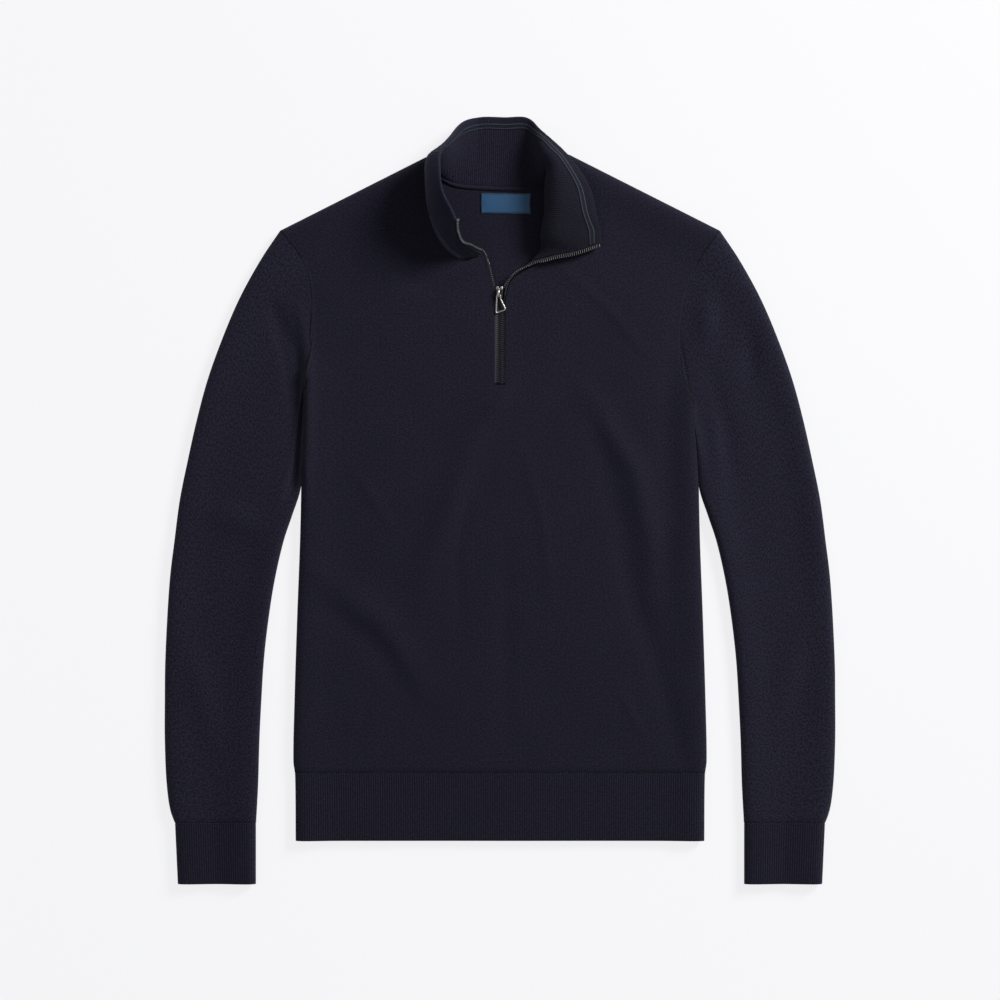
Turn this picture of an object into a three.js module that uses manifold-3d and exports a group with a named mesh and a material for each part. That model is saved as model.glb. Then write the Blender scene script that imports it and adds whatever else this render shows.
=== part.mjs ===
// Quarter zip sweater laid flat, front up, with its ribbed collar turned open.
// Millimetres, +Z up. +X is the wearer's left and +Y runs to the collar. The origin is the
// middle of the outline, on the surface that the sweater lies on.
import * as THREE from 'three';
import { mergeVertices } from 'three/addons/utils/BufferGeometryUtils.js';
import Module from 'manifold-3d';

const wasm = await Module();
wasm.setup();

// Driving dimensions
const CLOTH = 2.2;
const SEAM_GAP = 0.3;
const ARMHOLE_GAP = 0.6;   // the armhole's two curves are cut at different places
const EDGE_RADIUS = 9;
const MID = 5.5;            // height of the side edges, where front and back meet
const FLAT_TOP = 7.4;       // top of the front where it lies on the back
const EDGE_TOP = 11;        // top of the soft roll beside each edge
const ROLL_REACH = 22;      // how far that roll fades into a panel
const FOLD_END = 0.3;       // share of a fold's height that is left at its two ends
const LOWEST_TOP = 2 * CLOTH + SEAM_GAP + 0.2;
const SHOULDER = { out: 225.5, up: 277 };
const NECK_POINT = { out: 70, up: 355.5 };
const HEM_SEAM = -280.2;
const HEM_BOTTOM = -350.2;
const CUFF_SEAM = -331.7;
const CUFF_BOTTOM = -394.5;
const CUFF_INNER = 250.8;   // distance of a cuff's two edges from the middle
const CUFF_OUTER = { top: 334, bottom: 331.1 };
const BODY_WIDTH = 414;     // widths that the columns and rows are spread over
const SLEEVE_WIDTH = 159;
const HEM_WIDTH = 420;
const CUFF_WIDTH = 83;
const CAP_REACH = 0.35;     // share of a sleeve over which its curved armhole edge straightens
const SHOULDER_ROW = 0.93;  // share of the armhole after which a row lies along the shoulder
const RIB_PITCH = 2.36;     // hem and cuffs
const RIB_HEIGHT = 0.5;
const COLLAR_PITCH = 2.07;
const COLLAR_RIB = 0.35;
const COLLAR_HALF = 1.5;    // half of the doubled collar's thickness
const TOP_HALF = 0.9;       // half of its thickness at the folded top edge
const BINDING_LINES = [11.8, 9.1, 6.4];   // distances of the binding's lines from the collar's top edge
const STANDING_END = 0.40;  // its outside shows up to this station, and its inside after it
const SLOT_HALF = 5.9;      // half of the gap that the closed zip fills
const SLOT_TOP = 207;
const SLOT_BOTTOM = 118.5;
const SLOT_CORNER = 1.2;
const ZIP_DROP = 0.9;       // how far the zip lies below the middle of the cloth beside it
const CHAIN_HALF = 4.3;
const TEETH_REACH = 2.6;    // how far one side's open teeth stand out from the tape
const TAPE = 0.8;
const TEETH_HALF = 1.3;     // half of the teeth's thickness, either side of the tape's edge
const SLIDER = { x: -0.6, y: 213.2, length: 12.6, plate: 4.9 };
const WIRE = 0.8;           // radius of the pull's wire
const LABEL = { left: -19.5, right: 31.4, low: 294.6, high: 315.6, thick: 0.7 };

// Side seam and armhole seam of the body: distance from the middle at each height
const SIDE_SEAM = [
  { up: -350.2, out: 210.0 },
  { up: -283, out: 210.6 },
  { up: -268, out: 212.4 },
  { up: -206, out: 211.2 },
  { up: -123.6, out: 208.6 },
  { up: -41, out: 205.5 },
  { up: 13.4, out: 204.3 },
  { up: 125, out: 202.2 },
];
const ARMHOLES = {
  right: [
    { up: 118.5, out: 202.4 },
    { up: 159.6, out: 193.6 },
    { up: 195.7, out: 192.6 },
    { up: 226.6, out: 195.6 },
    { up: 249.3, out: 204.4 },
    { up: 277, out: 225.5 },
  ],
  left: [
    { up: 100, out: 202.4 },
    { up: 122.6, out: 189.5 },
    { up: 150, out: 185.5 },
    { up: 180, out: 186 },
    { up: 213, out: 191.5 },
    { up: 243, out: 203 },
    { up: 277, out: 225.5 },
  ],
};

// Where a sleeve's inner edge leaves the underarm
const UNDERARM = { right: [205.6, 60], left: [205.4, 52] };

// Edges of a sleeve from the armhole to the cuff seam
const SLEEVE_OUTER = [
  [225.8, 277], [245.7, 247.2], [268.3, 206], [285.8, 164.8], [300.5, 123.6], [311.6, 82.4],
  [320.8, 41.2], [329.1, 0], [334.5, -41.2], [339.4, -82.4], [344, -164.8], [344.5, -206],
  [344.5, -247.2], [342.5, -292.5], [339, -318], [334.4, -331.7],
];
const SLEEVE_INNER = [
  [208.6, 13], [215.8, -15.5], [222, -41.2], [231.5, -82.4], [238, -123.6], [242.6, -164.8],
  [245.2, -206], [247.2, -247.2], [248.5, -292.5], [250.6, -331.7],
];

// Folds of the front layer: a soft ridge, or a trough where the height is below zero
const FOLDS = [
  { name: 'chest trough beside the left armhole', height: -2.2, reach: 14,
    line: [[196, 227], [178, 134], [173, 51], [178, -21], [165, -103]] },
  { name: 'long trough to the hem', height: -2.4, reach: 11,
    line: [[93, 93], [124, -31], [136, -103], [160, -165], [176, -227], [191, -278]] },
  { name: 'ridge beside the long trough', height: 4.2, reach: 13,
    line: [[86, 113], [138, 31], [154, -41], [160, -103]] },
  { name: 'rise under the zip', height: 3, reach: 20, line: [[-6, 108], [6, 96]] },
  { name: 'ridge from the zip to the side', height: 3.8, reach: 15,
    line: [[-14, 93], [-61, -31], [-82, -82]] },
  { name: 'ridge over the hip', height: 3.8, reach: 16,
    line: [[-192, -72], [-123, -124], [-77, -196]] },
  { name: 'trough under the hip ridge', height: -1.6, reach: 12,
    line: [[-178, -112], [-118, -158], [-92, -206]] },
  { name: 'middle crease', height: -1.2, reach: 9, line: [[5.7, -31], [5.7, -247]] },
  { name: 'left sleeve cap ridge', height: 3, reach: 11, line: [[212, 210], [212, 162]] },
  { name: 'left sleeve elbow crease', height: -2, reach: 9, line: [[258, 178], [257, 113]] },
  { name: 'left underarm crease', height: -2.2, reach: 9, line: [[216, 132], [232, 72], [238, 31]] },
  { name: 'right underarm valley', height: -2.5, reach: 9,
    line: [[-211, 175], [-210, 120], [-212, 60], [-214, 13]] },
  { name: 'right elbow band', height: 2.8, reach: 15, line: [[-300, -10], [-236, -31]] },
  { name: 'right forearm ridge', height: 2.2, reach: 13, line: [[-318, -150], [-292, -262]] },
  { name: 'left forearm ridge', height: 2.2, reach: 13, line: [[312, -120], [284, -236]] },
];

// Collar: seam, a point a third up, a point two thirds up and top edge of each station
const COLLAR = [
  { at: 'zip end, right front',
    seam: [-17.5, 253.8, 6.3], low: [-30, 259.4, 23], high: [-43, 268, 42], top: [-45.1, 285.5, 56] },
  { at: 'right front',
    seam: [-36, 250.2, 6.3], low: [-43, 260, 24], high: [-49.5, 276, 43], top: [-50.5, 296.5, 60] },
  { at: 'right front curve',
    seam: [-54.5, 264.5, 6.3], low: [-58, 275, 25], high: [-58.5, 290, 45], top: [-56.5, 308, 62] },
  { at: 'right neck side',
    seam: [-68, 292.5, 6.3], low: [-71.5, 297, 24], high: [-69, 306, 47], top: [-59.5, 319, 64] },
  { at: 'right neck',
    seam: [-71.5, 324, 6], low: [-74.5, 326, 23], high: [-73, 329, 46], top: [-60.5, 333, 63] },
  { at: 'right shoulder',
    seam: [-68.5, 342, 5.4], low: [-73, 347, 20], high: [-70.5, 350, 42], top: [-60, 350, 56] },
  { at: 'back, right end',
    seam: [-60, 333, 3.2], low: [-64, 345, 15], high: [-58, 358, 29], top: [-48.5, 371, 36] },
  { at: 'back, right',
    seam: [-45, 323.9, 1.6], low: [-45, 343, 5], high: [-42, 365, 9], top: [-37, 388, 13] },
  { at: 'back, middle right',
    seam: [-25, 322.3, 1.5], low: [-24, 345, 1.5], high: [-23, 369, 1.5], top: [-21.5, 393.8, 1.5] },
  { at: 'back, middle',
    seam: [8, 320.8, 1.5], low: [7, 345, 1.5], high: [6, 369, 1.5], top: [5, 393.8, 1.5] },
  { at: 'back, left',
    seam: [34, 321.8, 1.5], low: [32, 344, 4], high: [30, 368, 6], top: [28, 393, 4] },
  { at: 'back, left end',
    seam: [49, 325.5, 2], low: [44, 339, 17], high: [43.5, 358, 25], top: [43, 378, 15] },
  { at: 'left shoulder',
    seam: [62, 340, 5.4], low: [48.5, 338, 22], high: [54, 347, 31], top: [71, 351, 18] },
  { at: 'left neck',
    seam: [62.3, 322, 6.6], low: [47, 320, 22], high: [58, 322, 31], top: [92.5, 319, 16] },
  { at: 'left neck side',
    seam: [61, 294, 6.8], low: [47, 296, 21], high: [58, 296, 28], top: [99.5, 288.5, 14.5] },
  { at: 'left front',
    seam: [46, 261, 7.2], low: [44, 266.5, 16], high: [58, 270, 23], top: [103, 277, 14] },
  { at: 'zip end, left front',
    seam: [33, 245.8, 9], low: [56, 251.5, 14.5], high: [79, 256, 15], top: [103.5, 264, 13.5] },
];

// Neck opening of the front, from the zip's right side round the shoulders to its left side
const FRONT_NECK = [
  [-7, 215], [-9.4, 225], [-12.8, 238.3], [-16, 249], [-24, 249.2], [-36.5, 245.6],
  [-58, 260.6], [-73, 291], [-77.4, 324.5], [-76, 347], [-76, 372], [67, 372], [67, 350],
  [64.5, 322], [63.5, 292], [49, 256.5], [37, 241.5], [28, 236.8], [20.4, 232.4], [13.6, 227.2],
  [9.6, 221.5], [7.4, 214],
];
const BACK_NECK = [
  [-73.5, 372], [-67, 346], [-60.5, 331], [-45.8, 322.9], [-25, 321.4], [8, 319.9],
  [35, 320.9], [52, 324.2], [60, 333], [65, 346], [68, 372],
];

// Right zip edge above the slot: place, and rise of its way out for each millimetre across
const OPENING_EDGE = [
  { at: [-7.2, 217, 6.8], rise: 0.15 },
  { at: [-10, 229, 7.2], rise: 0.25 },
  { at: [-13.4, 242.4, 7.6], rise: 0.35 },
];

// Left zip edge where it turns over beside the slot: place, and turn of the tape in degrees
const TURNED_EDGE = [
  { at: [7, 216, 7], turn: 10 },
  { at: [9.2, 223, 7.9], turn: 35 },
  { at: [13.4, 229.8, 8.7], turn: 60 },
  { at: [19.4, 235.4, 9.4], turn: 85 },
  { at: [25.6, 240, 9.9], turn: 110 },
];

const KNIT = new THREE.MeshStandardMaterial({ color: 0x1d1f2b, roughness: 0.95, metalness: 0 });
const RIB = new THREE.MeshStandardMaterial({ color: 0x1b1d29, roughness: 0.95, metalness: 0 });
const BINDING = new THREE.MeshStandardMaterial({ color: 0x2b3446, roughness: 0.85, metalness: 0 });
const LABEL_CLOTH = new THREE.MeshStandardMaterial({ color: 0x1e4b70, roughness: 0.7, metalness: 0 });
const ZIP_TAPE = new THREE.MeshStandardMaterial({ color: 0x1a1c27, roughness: 0.8, metalness: 0 });
const ZIP_METAL = new THREE.MeshStandardMaterial({ color: 0xb9b4a8, roughness: 0.35, metalness: 1 });

const sweater = new THREE.Group();

function addPart(name, geometry, material) {
  const mesh = new THREE.Mesh(geometry, material);
  mesh.name = name;
  sweater.add(mesh);
}

// Smooth value at a height, from a table's rows in rising order
function smoothOut(rows, up) {
  const last = rows.length - 1;
  let k = 0;
  while (k < last - 1 && up > rows[k + 1].up) k += 1;
  const slopeAt = (i) => {
    const before = rows[Math.max(i - 1, 0)];
    const after = rows[Math.min(i + 1, last)];
    return (after.out - before.out) / (after.up - before.up);
  };
  const step = rows[k + 1].up - rows[k].up;
  const t = THREE.MathUtils.clamp((up - rows[k].up) / step, 0, 1);
  const rise = rows[k + 1].out - rows[k].out;
  const bendA = slopeAt(k) * step - rise;
  const bendB = rise - slopeAt(k + 1) * step;
  return rows[k].out + t * rise + t * (1 - t) * ((1 - t) * bendA + t * bendB);
}

// Rounding of an edge: 0 at the edge, 1 where the panel is flat
function rounding(distance, radius) {
  const q = THREE.MathUtils.clamp(distance / radius, 0, 1);
  return Math.sqrt(1 - (1 - q) * (1 - q));
}

// Distance of a place from a fold's line, and the share of the line that lies before it
function nearestOnLine(x, y, line) {
  const lengths = line.slice(1).map(([bx, by], i) => Math.hypot(bx - line[i][0], by - line[i][1]));
  const total = lengths.reduce((sum, length) => sum + length, 0);
  let best = { away: Infinity, along: 0 };
  let before = 0;
  lengths.forEach((length, i) => {
    const [ax, ay] = line[i];
    const [dx, dy] = [line[i + 1][0] - ax, line[i + 1][1] - ay];
    const t = THREE.MathUtils.clamp(((x - ax) * dx + (y - ay) * dy) / length ** 2, 0, 1);
    const away = Math.hypot(x - ax - t * dx, y - ay - t * dy);
    if (away < best.away) best = { away, along: (before + t * length) / total };
    before += length;
  });
  return best;
}

// Top of the upper layer at a place, a given distance inside its nearest edge
function topAt(x, y, inside) {
  const pastEdge = Math.max(inside - EDGE_RADIUS, 0);
  let top = FLAT_TOP + (EDGE_TOP - FLAT_TOP) * Math.exp(-((pastEdge / ROLL_REACH) ** 2));
  for (const fold of FOLDS) {
    const { away, along } = nearestOnLine(x, y, fold.line);
    const fade = FOLD_END + (1 - FOLD_END) * Math.sin(Math.PI * along);
    top += fold.height * fade * Math.exp(-((away / fold.reach) ** 2));
  }
  return LOWEST_TOP + Math.log(1 + Math.exp(top - LOWEST_TOP));
}

// Shares of a width where the columns of a rounded panel lie
function shares(width, edgeAngles, inner) {
  const edge = edgeAngles.map(
    (angle) => EDGE_RADIUS * (1 - Math.cos(THREE.MathUtils.degToRad(angle))) / width,
  );
  const first = edge[edge.length - 1];
  const middle = [];
  for (let i = 1; i < inner; i += 1) middle.push(first + (1 - 2 * first) * i / inner);
  return [...edge, ...middle, ...edge.map((share) => 1 - share).reverse()];
}

// A closed skin between an outer and an inner sheet of points. Each sheet has its rows of
// points and the marks of its rows and columns, which pair the two sheets along their edges.
function closedSkin(outer, inner, ring = false) {
  const points = [];
  const faces = [];
  const place = (sheet) => sheet.rows.map((row) => {
    const indices = row.map((point) => points.push(point) - 1);
    if (ring) indices.push(indices[0]);
    return indices;
  });
  const quads = (grid, inward) => {
    for (let r = 0; r < grid.length - 1; r += 1) {
      for (let c = 0; c < grid[r].length - 1; c += 1) {
        const corners = [grid[r][c], grid[r][c + 1], grid[r + 1][c + 1], grid[r + 1][c]];
        if (inward) corners.reverse();
        faces.push([corners[0], corners[1], corners[2]], [corners[0], corners[2], corners[3]]);
      }
    }
  };
  const strip = (a, marksA, b, marksB) => {
    let i = 0;
    let j = 0;
    while (i < a.length - 1 || j < b.length - 1) {
      const nextA = i < a.length - 1 ? marksA[i + 1] : Infinity;
      const nextB = j < b.length - 1 ? marksB[j + 1] : Infinity;
      if (nextA <= nextB) {
        faces.push([a[i], a[i + 1], b[j]]);
        i += 1;
      } else {
        faces.push([a[i], b[j + 1], b[j]]);
        j += 1;
      }
    }
  };
  const outerGrid = place(outer);
  const innerGrid = place(inner);
  quads(outerGrid, false);
  quads(innerGrid, true);
  const across = (sheet) => (ring ? [...sheet.columnMarks, 1] : sheet.columnMarks);
  strip(innerGrid[0], across(inner), outerGrid[0], across(outer));
  strip(outerGrid.at(-1), across(outer), innerGrid.at(-1), across(inner));
  if (!ring) {
    const side = (grid, end) => grid.map((row) => row.at(end));
    strip(side(outerGrid, 0), outer.rowMarks, side(innerGrid, 0), inner.rowMarks);
    strip(side(innerGrid, -1), inner.rowMarks, side(outerGrid, -1), outer.rowMarks);
  }
  return solidFrom(points, faces);
}

// A bar through rings of points, capped at both ends or closed on itself
function loft(rings, closed = false) {
  const count = rings[0].length;
  const points = rings.flat();
  const faces = [];
  const last = closed ? rings.length : rings.length - 1;
  for (let r = 0; r < last; r += 1) {
    const next = (r + 1) % rings.length;
    for (let c = 0; c < count; c += 1) {
      const d = (c + 1) % count;
      const corners = [r * count + c, r * count + d, next * count + d, next * count + c];
      faces.push([corners[0], corners[1], corners[2]], [corners[0], corners[2], corners[3]]);
    }
  }
  if (!closed) {
    for (let c = 1; c < count - 1; c += 1) {
      faces.push([0, c + 1, c]);
      const end = (rings.length - 1) * count;
      faces.push([end, end + c, end + c + 1]);
    }
  }
  return solidFrom(points, faces);
}

// Geometry of a closed body, with its faces turned outwards
function solidFrom(points, faces) {
  let volume = 0;
  for (const [a, b, c] of faces) {
    volume += points[a].dot(new THREE.Vector3().crossVectors(points[b], points[c]));
  }
  const order = volume > 0 ? faces : faces.map(([a, b, c]) => [a, c, b]);
  const geometry = new THREE.BufferGeometry();
  geometry.setAttribute('position', new THREE.Float32BufferAttribute(points.flatMap((p) => p.toArray()), 3));
  geometry.setIndex(order.flat());
  return geometry;
}

function toManifold(geometry) {
  const bare = geometry.clone();
  bare.deleteAttribute('normal');
  bare.deleteAttribute('uv');
  const merged = mergeVertices(bare, 1e-4);
  return new wasm.Manifold(new wasm.Mesh({
    numProp: 3,
    vertProperties: new Float32Array(merged.attributes.position.array),
    triVerts: new Uint32Array(merged.index.array),
  }));
}

function fromManifold(solid) {
  const mesh = solid.getMesh();
  const geometry = new THREE.BufferGeometry();
  geometry.setAttribute('position', new THREE.BufferAttribute(mesh.vertProperties, 3));
  geometry.setIndex(new THREE.BufferAttribute(mesh.triVerts, 1));
  return geometry;
}

// An upright prism over a plan outline
function prism(outline, bottom, top) {
  const shape = new THREE.Shape(outline.map(([x, y]) => new THREE.Vector2(x, y)));
  const geometry = new THREE.ExtrudeGeometry(shape, { depth: top - bottom, bevelEnabled: false });
  return geometry.translate(0, 0, bottom);
}

function box(low, high) {
  const size = high.map((value, i) => value - low[i]);
  const middle = high.map((value, i) => (value + low[i]) / 2);
  return new THREE.BoxGeometry(...size).translate(...middle);
}

// Front and back panels
const SHOWN_EDGE = [0, 32, 62, 90];
const PLAIN_EDGE = [0, 45, 90];
const SLEEVE_SHARES = shares(SLEEVE_WIDTH, SHOWN_EDGE, 8);
const BODY_SHARES = shares(BODY_WIDTH, SHOWN_EDGE, 24);
const BACK_SHARES = shares(BODY_WIDTH, PLAIN_EDGE, 8);
const BODY_ROWS = 15;
const BACK_ROWS = 5;

const SHOULDER_FALL = (NECK_POINT.up - SHOULDER.up) / (SHOULDER.out - NECK_POINT.out);
const SHOULDER_COSINE = 1 / Math.hypot(1, SHOULDER_FALL);

function shoulderTop(x) {
  const out = Math.min(Math.max(Math.abs(x), NECK_POINT.out), SHOULDER.out);
  return NECK_POINT.up - (out - NECK_POINT.out) * SHOULDER_FALL;
}

// Rows of a body panel: the height of its two ends, and how far it lifts to the shoulder line
function bodyRows(lowRows) {
  const rows = [];
  const under = { right: ARMHOLES.right[0].up, left: ARMHOLES.left[0].up };
  const hemEdge = HEM_SEAM + SEAM_GAP / 2;
  for (let k = 0; k < lowRows; k += 1) {
    const t = k / lowRows;
    rows.push({
      right: THREE.MathUtils.lerp(hemEdge, under.right, t),
      left: THREE.MathUtils.lerp(hemEdge, under.left, t),
      lift: 0,
      arm: false,
    });
  }
  for (const share of [...SLEEVE_SHARES].reverse()) {
    const t = 1 - share;
    rows.push({
      right: THREE.MathUtils.lerp(under.right, SHOULDER.up, t),
      left: THREE.MathUtils.lerp(under.left, SHOULDER.up, t),
      lift: THREE.MathUtils.smoothstep(t, 0, SHOULDER_ROW),
      arm: true,
    });
  }
  return rows;
}

function bodyEdge(side, up, arm) {
  return arm ? smoothOut(ARMHOLES[side], up) - ARMHOLE_GAP / 2 : smoothOut(SIDE_SEAM, up);
}

// One point of a body panel: upper is the front, and deep is its inner face
function bodyPoint(row, share, upper, deep) {
  const ends = { right: -bodyEdge('right', row.right, row.arm), left: bodyEdge('left', row.left, row.arm) };
  const outerX = THREE.MathUtils.lerp(ends.right, ends.left, share);
  const endTop = THREE.MathUtils.lerp(shoulderTop(ends.right), shoulderTop(ends.left), share);
  const outerY = THREE.MathUtils.lerp(row.right, row.left, share)
    + row.lift * (shoulderTop(outerX) - endTop);
  const fromShoulder = row.lift > 0.5 ? (shoulderTop(outerX) - outerY) * SHOULDER_COSINE : Infinity;
  const inward = (distance) => (deep ? CLOTH * Math.max(0, 1 - distance / EDGE_RADIUS) : 0);
  const lowered = inward(fromShoulder);
  const xRight = -bodyEdge('right', row.right - lowered, row.arm);
  const xLeft = bodyEdge('left', row.left - lowered, row.arm);
  let x = THREE.MathUtils.lerp(xRight, xLeft, share);
  const y = outerY - lowered;
  const sides = row.arm
    ? Math.min(
      Math.hypot(x + ARMHOLES.right[0].out, y - ARMHOLES.right[0].up),
      Math.hypot(x - ARMHOLES.left[0].out, y - ARMHOLES.left[0].up),
    )
    : Math.min(x - xRight, xLeft - x);
  const inside = Math.min(sides, fromShoulder);
  const round = rounding(sides, EDGE_RADIUS) * rounding(fromShoulder, EDGE_RADIUS);
  const top = topAt(x, y, inside);
  const edge = MID + (upper ? 1 : -1) * SEAM_GAP / 2;
  x -= Math.sign(x) * inward(sides);
  const flat = upper ? top - (deep ? CLOTH : 0) : (deep ? CLOTH : 0);
  return new THREE.Vector3(x, y, edge + (flat - edge) * round);
}

function bodySheet(rows, columns, upper, deep) {
  return {
    rows: rows.map((row) => columns.map((share) => bodyPoint(row, share, upper, deep))),
    rowMarks: rows.map((row, i) => i / (rows.length - 1)),
    columnMarks: columns,
  };
}

function bodyPanel(lowRows, columns, upper, hole) {
  const rows = bodyRows(lowRows);
  const skin = closedSkin(bodySheet(rows, columns, upper, false), bodySheet(rows, columns, upper, true));
  return fromManifold(toManifold(skin).subtract(toManifold(hole)));
}

const ABOVE = 80;
const slotOutline = [
  [SLOT_HALF, SLOT_TOP], [SLOT_HALF, SLOT_BOTTOM + SLOT_CORNER], [SLOT_HALF - SLOT_CORNER, SLOT_BOTTOM],
  [SLOT_CORNER - SLOT_HALF, SLOT_BOTTOM], [-SLOT_HALF, SLOT_BOTTOM + SLOT_CORNER], [-SLOT_HALF, SLOT_TOP],
];
addPart('back_panel', bodyPanel(BACK_ROWS, BACK_SHARES, false, prism(BACK_NECK, -ABOVE, ABOVE)), KNIT);
addPart('front_panel', bodyPanel(BODY_ROWS, BODY_SHARES, true,
  prism([...FRONT_NECK, ...slotOutline], -ABOVE, ABOVE)), KNIT);

// Sleeves and cuffs: flat tubes with an upper layer, a lower one and rounded edges
const LOWER_SHARES = shares(SLEEVE_WIDTH, PLAIN_EDGE, 3).slice(1, -1).reverse();
const SLEEVE_ROWS = 18;

// Height of a tube's wall at a share of its width
function tubeHeight(x, y, width, share, upper, depth) {
  const inner = width - 2 * depth;
  const round = rounding(Math.min(share, 1 - share) * inner, EDGE_RADIUS - depth);
  const flat = upper ? topAt(x, y, Math.min(share, 1 - share) * width) - depth : depth;
  return MID + (flat - MID) * round;
}

function tubeSheet(stations, upperShares, lowerShares, pointAt) {
  const marks = [...upperShares.map((share) => share / 2), ...lowerShares.map((share) => 1 - share / 2)];
  return {
    rows: stations.map((station) => [
      ...upperShares.map((share, i) => pointAt(station, share, true, i)),
      ...lowerShares.map((share) => pointAt(station, share, false, 0)),
    ]),
    rowMarks: stations,
    columnMarks: marks,
  };
}

function sleeve(side) {
  const sign = side === 'left' ? 1 : -1;
  const armhole = ARMHOLES[side];
  const gap = ARMHOLE_GAP / 2;
  const under = [armhole[0].out + gap, armhole[0].up];
  const curve = (line) => new THREE.CatmullRomCurve3(
    line.map(([x, y]) => new THREE.Vector3(x, y, 0)),
    false,
    'centripetal',
  );
  const outerEdge = curve(SLEEVE_OUTER);
  const innerEdge = curve([under, UNDERARM[side], ...SLEEVE_INNER]);
  const start = { a: outerEdge.getPointAt(0), b: innerEdge.getPointAt(0) };
  const pointAt = (depth) => (v, share, upper) => {
    const a = outerEdge.getPointAt(v);
    const b = innerEdge.getPointAt(v);
    a.y += v * SEAM_GAP / 2;
    b.y += v * SEAM_GAP / 2;
    const width = a.distanceTo(b);
    const along = (depth + share * (width - 2 * depth)) / width;
    const plan = new THREE.Vector3().lerpVectors(a, b, along);
    const first = new THREE.Vector3().lerpVectors(start.a, start.b, along);
    const bulge = smoothOut(armhole, first.y) + gap - first.x;
    plan.x += bulge * Math.max(0, 1 - v / CAP_REACH) ** 2;
    const z = tubeHeight(sign * plan.x, plan.y, width, share, upper, depth);
    return new THREE.Vector3(sign * plan.x, plan.y, z);
  };
  const stations = Array.from({ length: SLEEVE_ROWS + 1 }, (_, k) => k / SLEEVE_ROWS);
  return closedSkin(
    tubeSheet(stations, SLEEVE_SHARES, LOWER_SHARES, pointAt(0)),
    tubeSheet(stations, SLEEVE_SHARES, LOWER_SHARES, pointAt(CLOTH)),
    true,
  );
}

// A ribbed band round a flat tube: ribs on the upper face, plain inside and underneath
function ribbedBand(edges, top, bottom, plainShares) {
  const ribs = Math.round((edges(top).high - edges(top).low) / RIB_PITCH);
  const ribShares = Array.from({ length: 2 * ribs + 1 }, (_, k) => k / (2 * ribs));
  const under = plainShares.slice(1, -1).reverse();
  const pointAt = (depth) => (v, share, upper, index) => {
    const y = THREE.MathUtils.lerp(top, bottom, v);
    const { low, high } = edges(y);
    const width = high - low;
    const x = low + depth + share * (width - 2 * depth);
    const z = tubeHeight(x, y, width, share, upper, depth);
    const raised = depth === 0 && upper && index % 2 === 1;
    const soft = rounding(Math.min(share, 1 - share) * width, EDGE_RADIUS);
    return new THREE.Vector3(x, y, z + (raised ? RIB_HEIGHT * soft : 0));
  };
  return closedSkin(
    tubeSheet([0, 1], ribShares, under, pointAt(0)),
    tubeSheet([0, 1], plainShares, under, pointAt(CLOTH)),
    true,
  );
}

function hemEdges(y) {
  const out = smoothOut(SIDE_SEAM, y);
  return { low: -out, high: out };
}

function cuffEdges(sign) {
  return (y) => {
    const t = (CUFF_SEAM - y) / (CUFF_SEAM - CUFF_BOTTOM);
    const outer = THREE.MathUtils.lerp(CUFF_OUTER.top, CUFF_OUTER.bottom, t);
    return sign > 0 ? { low: CUFF_INNER, high: outer } : { low: -outer, high: -CUFF_INNER };
  };
}

for (const [side, sign] of [['right', -1], ['left', 1]]) {
  addPart(`sleeve_${side}`, sleeve(side), KNIT);
  addPart(`cuff_${side}`, ribbedBand(cuffEdges(sign), CUFF_SEAM - SEAM_GAP / 2, CUFF_BOTTOM,
    shares(CUFF_WIDTH, SHOWN_EDGE, 4)), RIB);
}
addPart('hem_rib', ribbedBand(hemEdges, HEM_SEAM - SEAM_GAP / 2, HEM_BOTTOM,
  shares(HEM_WIDTH, SHOWN_EDGE, 24)), RIB);

// Collar: a doubled rib band from the neck seam to its top edge
const COLLAR_LINES = Object.fromEntries(['seam', 'low', 'high', 'top'].map((name) => [
  name,
  new THREE.CatmullRomCurve3(COLLAR.map((row) => new THREE.Vector3(...row[name])), false, 'centripetal'),
]));
const COLLAR_ROWS = [0, 0.18, 0.36, 0.56, 0.78, 1];

function collarMid(u, w) {
  const controls = ['seam', 'low', 'high', 'top'].map((name) => COLLAR_LINES[name].getPoint(u));
  return new THREE.CatmullRomCurve3(controls, false, 'centripetal').getPoint(w);
}

// The collar at a place: point, direction along it, and the way its inside faces
function collarFrame(u, w) {
  const sideStep = 0.004;
  const upStep = 0.02;
  const point = collarMid(u, w);
  const low = Math.max(u - sideStep, 0);
  const high = Math.min(u + sideStep, 1);
  const along = collarMid(high, w).sub(collarMid(low, w)).normalize();
  const below = Math.max(w - upStep, 0);
  const over = Math.min(w + upStep, 1);
  const upward = collarMid(u, over).sub(collarMid(u, below)).normalize();
  const inside = new THREE.Vector3().crossVectors(along, upward).normalize();
  return { point, along, inside };
}

// Point on a face of the collar, a height off its middle
function collarPoint(u, w, off) {
  const { point, inside } = collarFrame(u, w);
  const place = point.addScaledVector(inside, off);
  place.z = Math.max(place.z, off > 0 ? 2 * Math.min(off, COLLAR_HALF) : 0);
  return place;
}

// Stations an even distance apart along the collar's middle line
function evenStations(pitch) {
  const fine = 1200;
  const lengths = [0];
  let before = collarMid(0, 0.5);
  for (let k = 1; k <= fine; k += 1) {
    const here = collarMid(k / fine, 0.5);
    lengths.push(lengths[k - 1] + here.distanceTo(before));
    before = here;
  }
  const steps = 2 * Math.round(lengths[fine] / pitch / 2);
  const stations = [];
  let k = 0;
  for (let i = 0; i <= steps; i += 1) {
    const wanted = lengths[fine] * i / steps;
    while (k < fine && lengths[k + 1] < wanted) k += 1;
    const part = Math.min(1, (wanted - lengths[k]) / Math.max(lengths[k + 1] - lengths[k], 1e-6));
    stations.push(Math.min(1, (k + part) / fine));
  }
  return stations;
}

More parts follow.
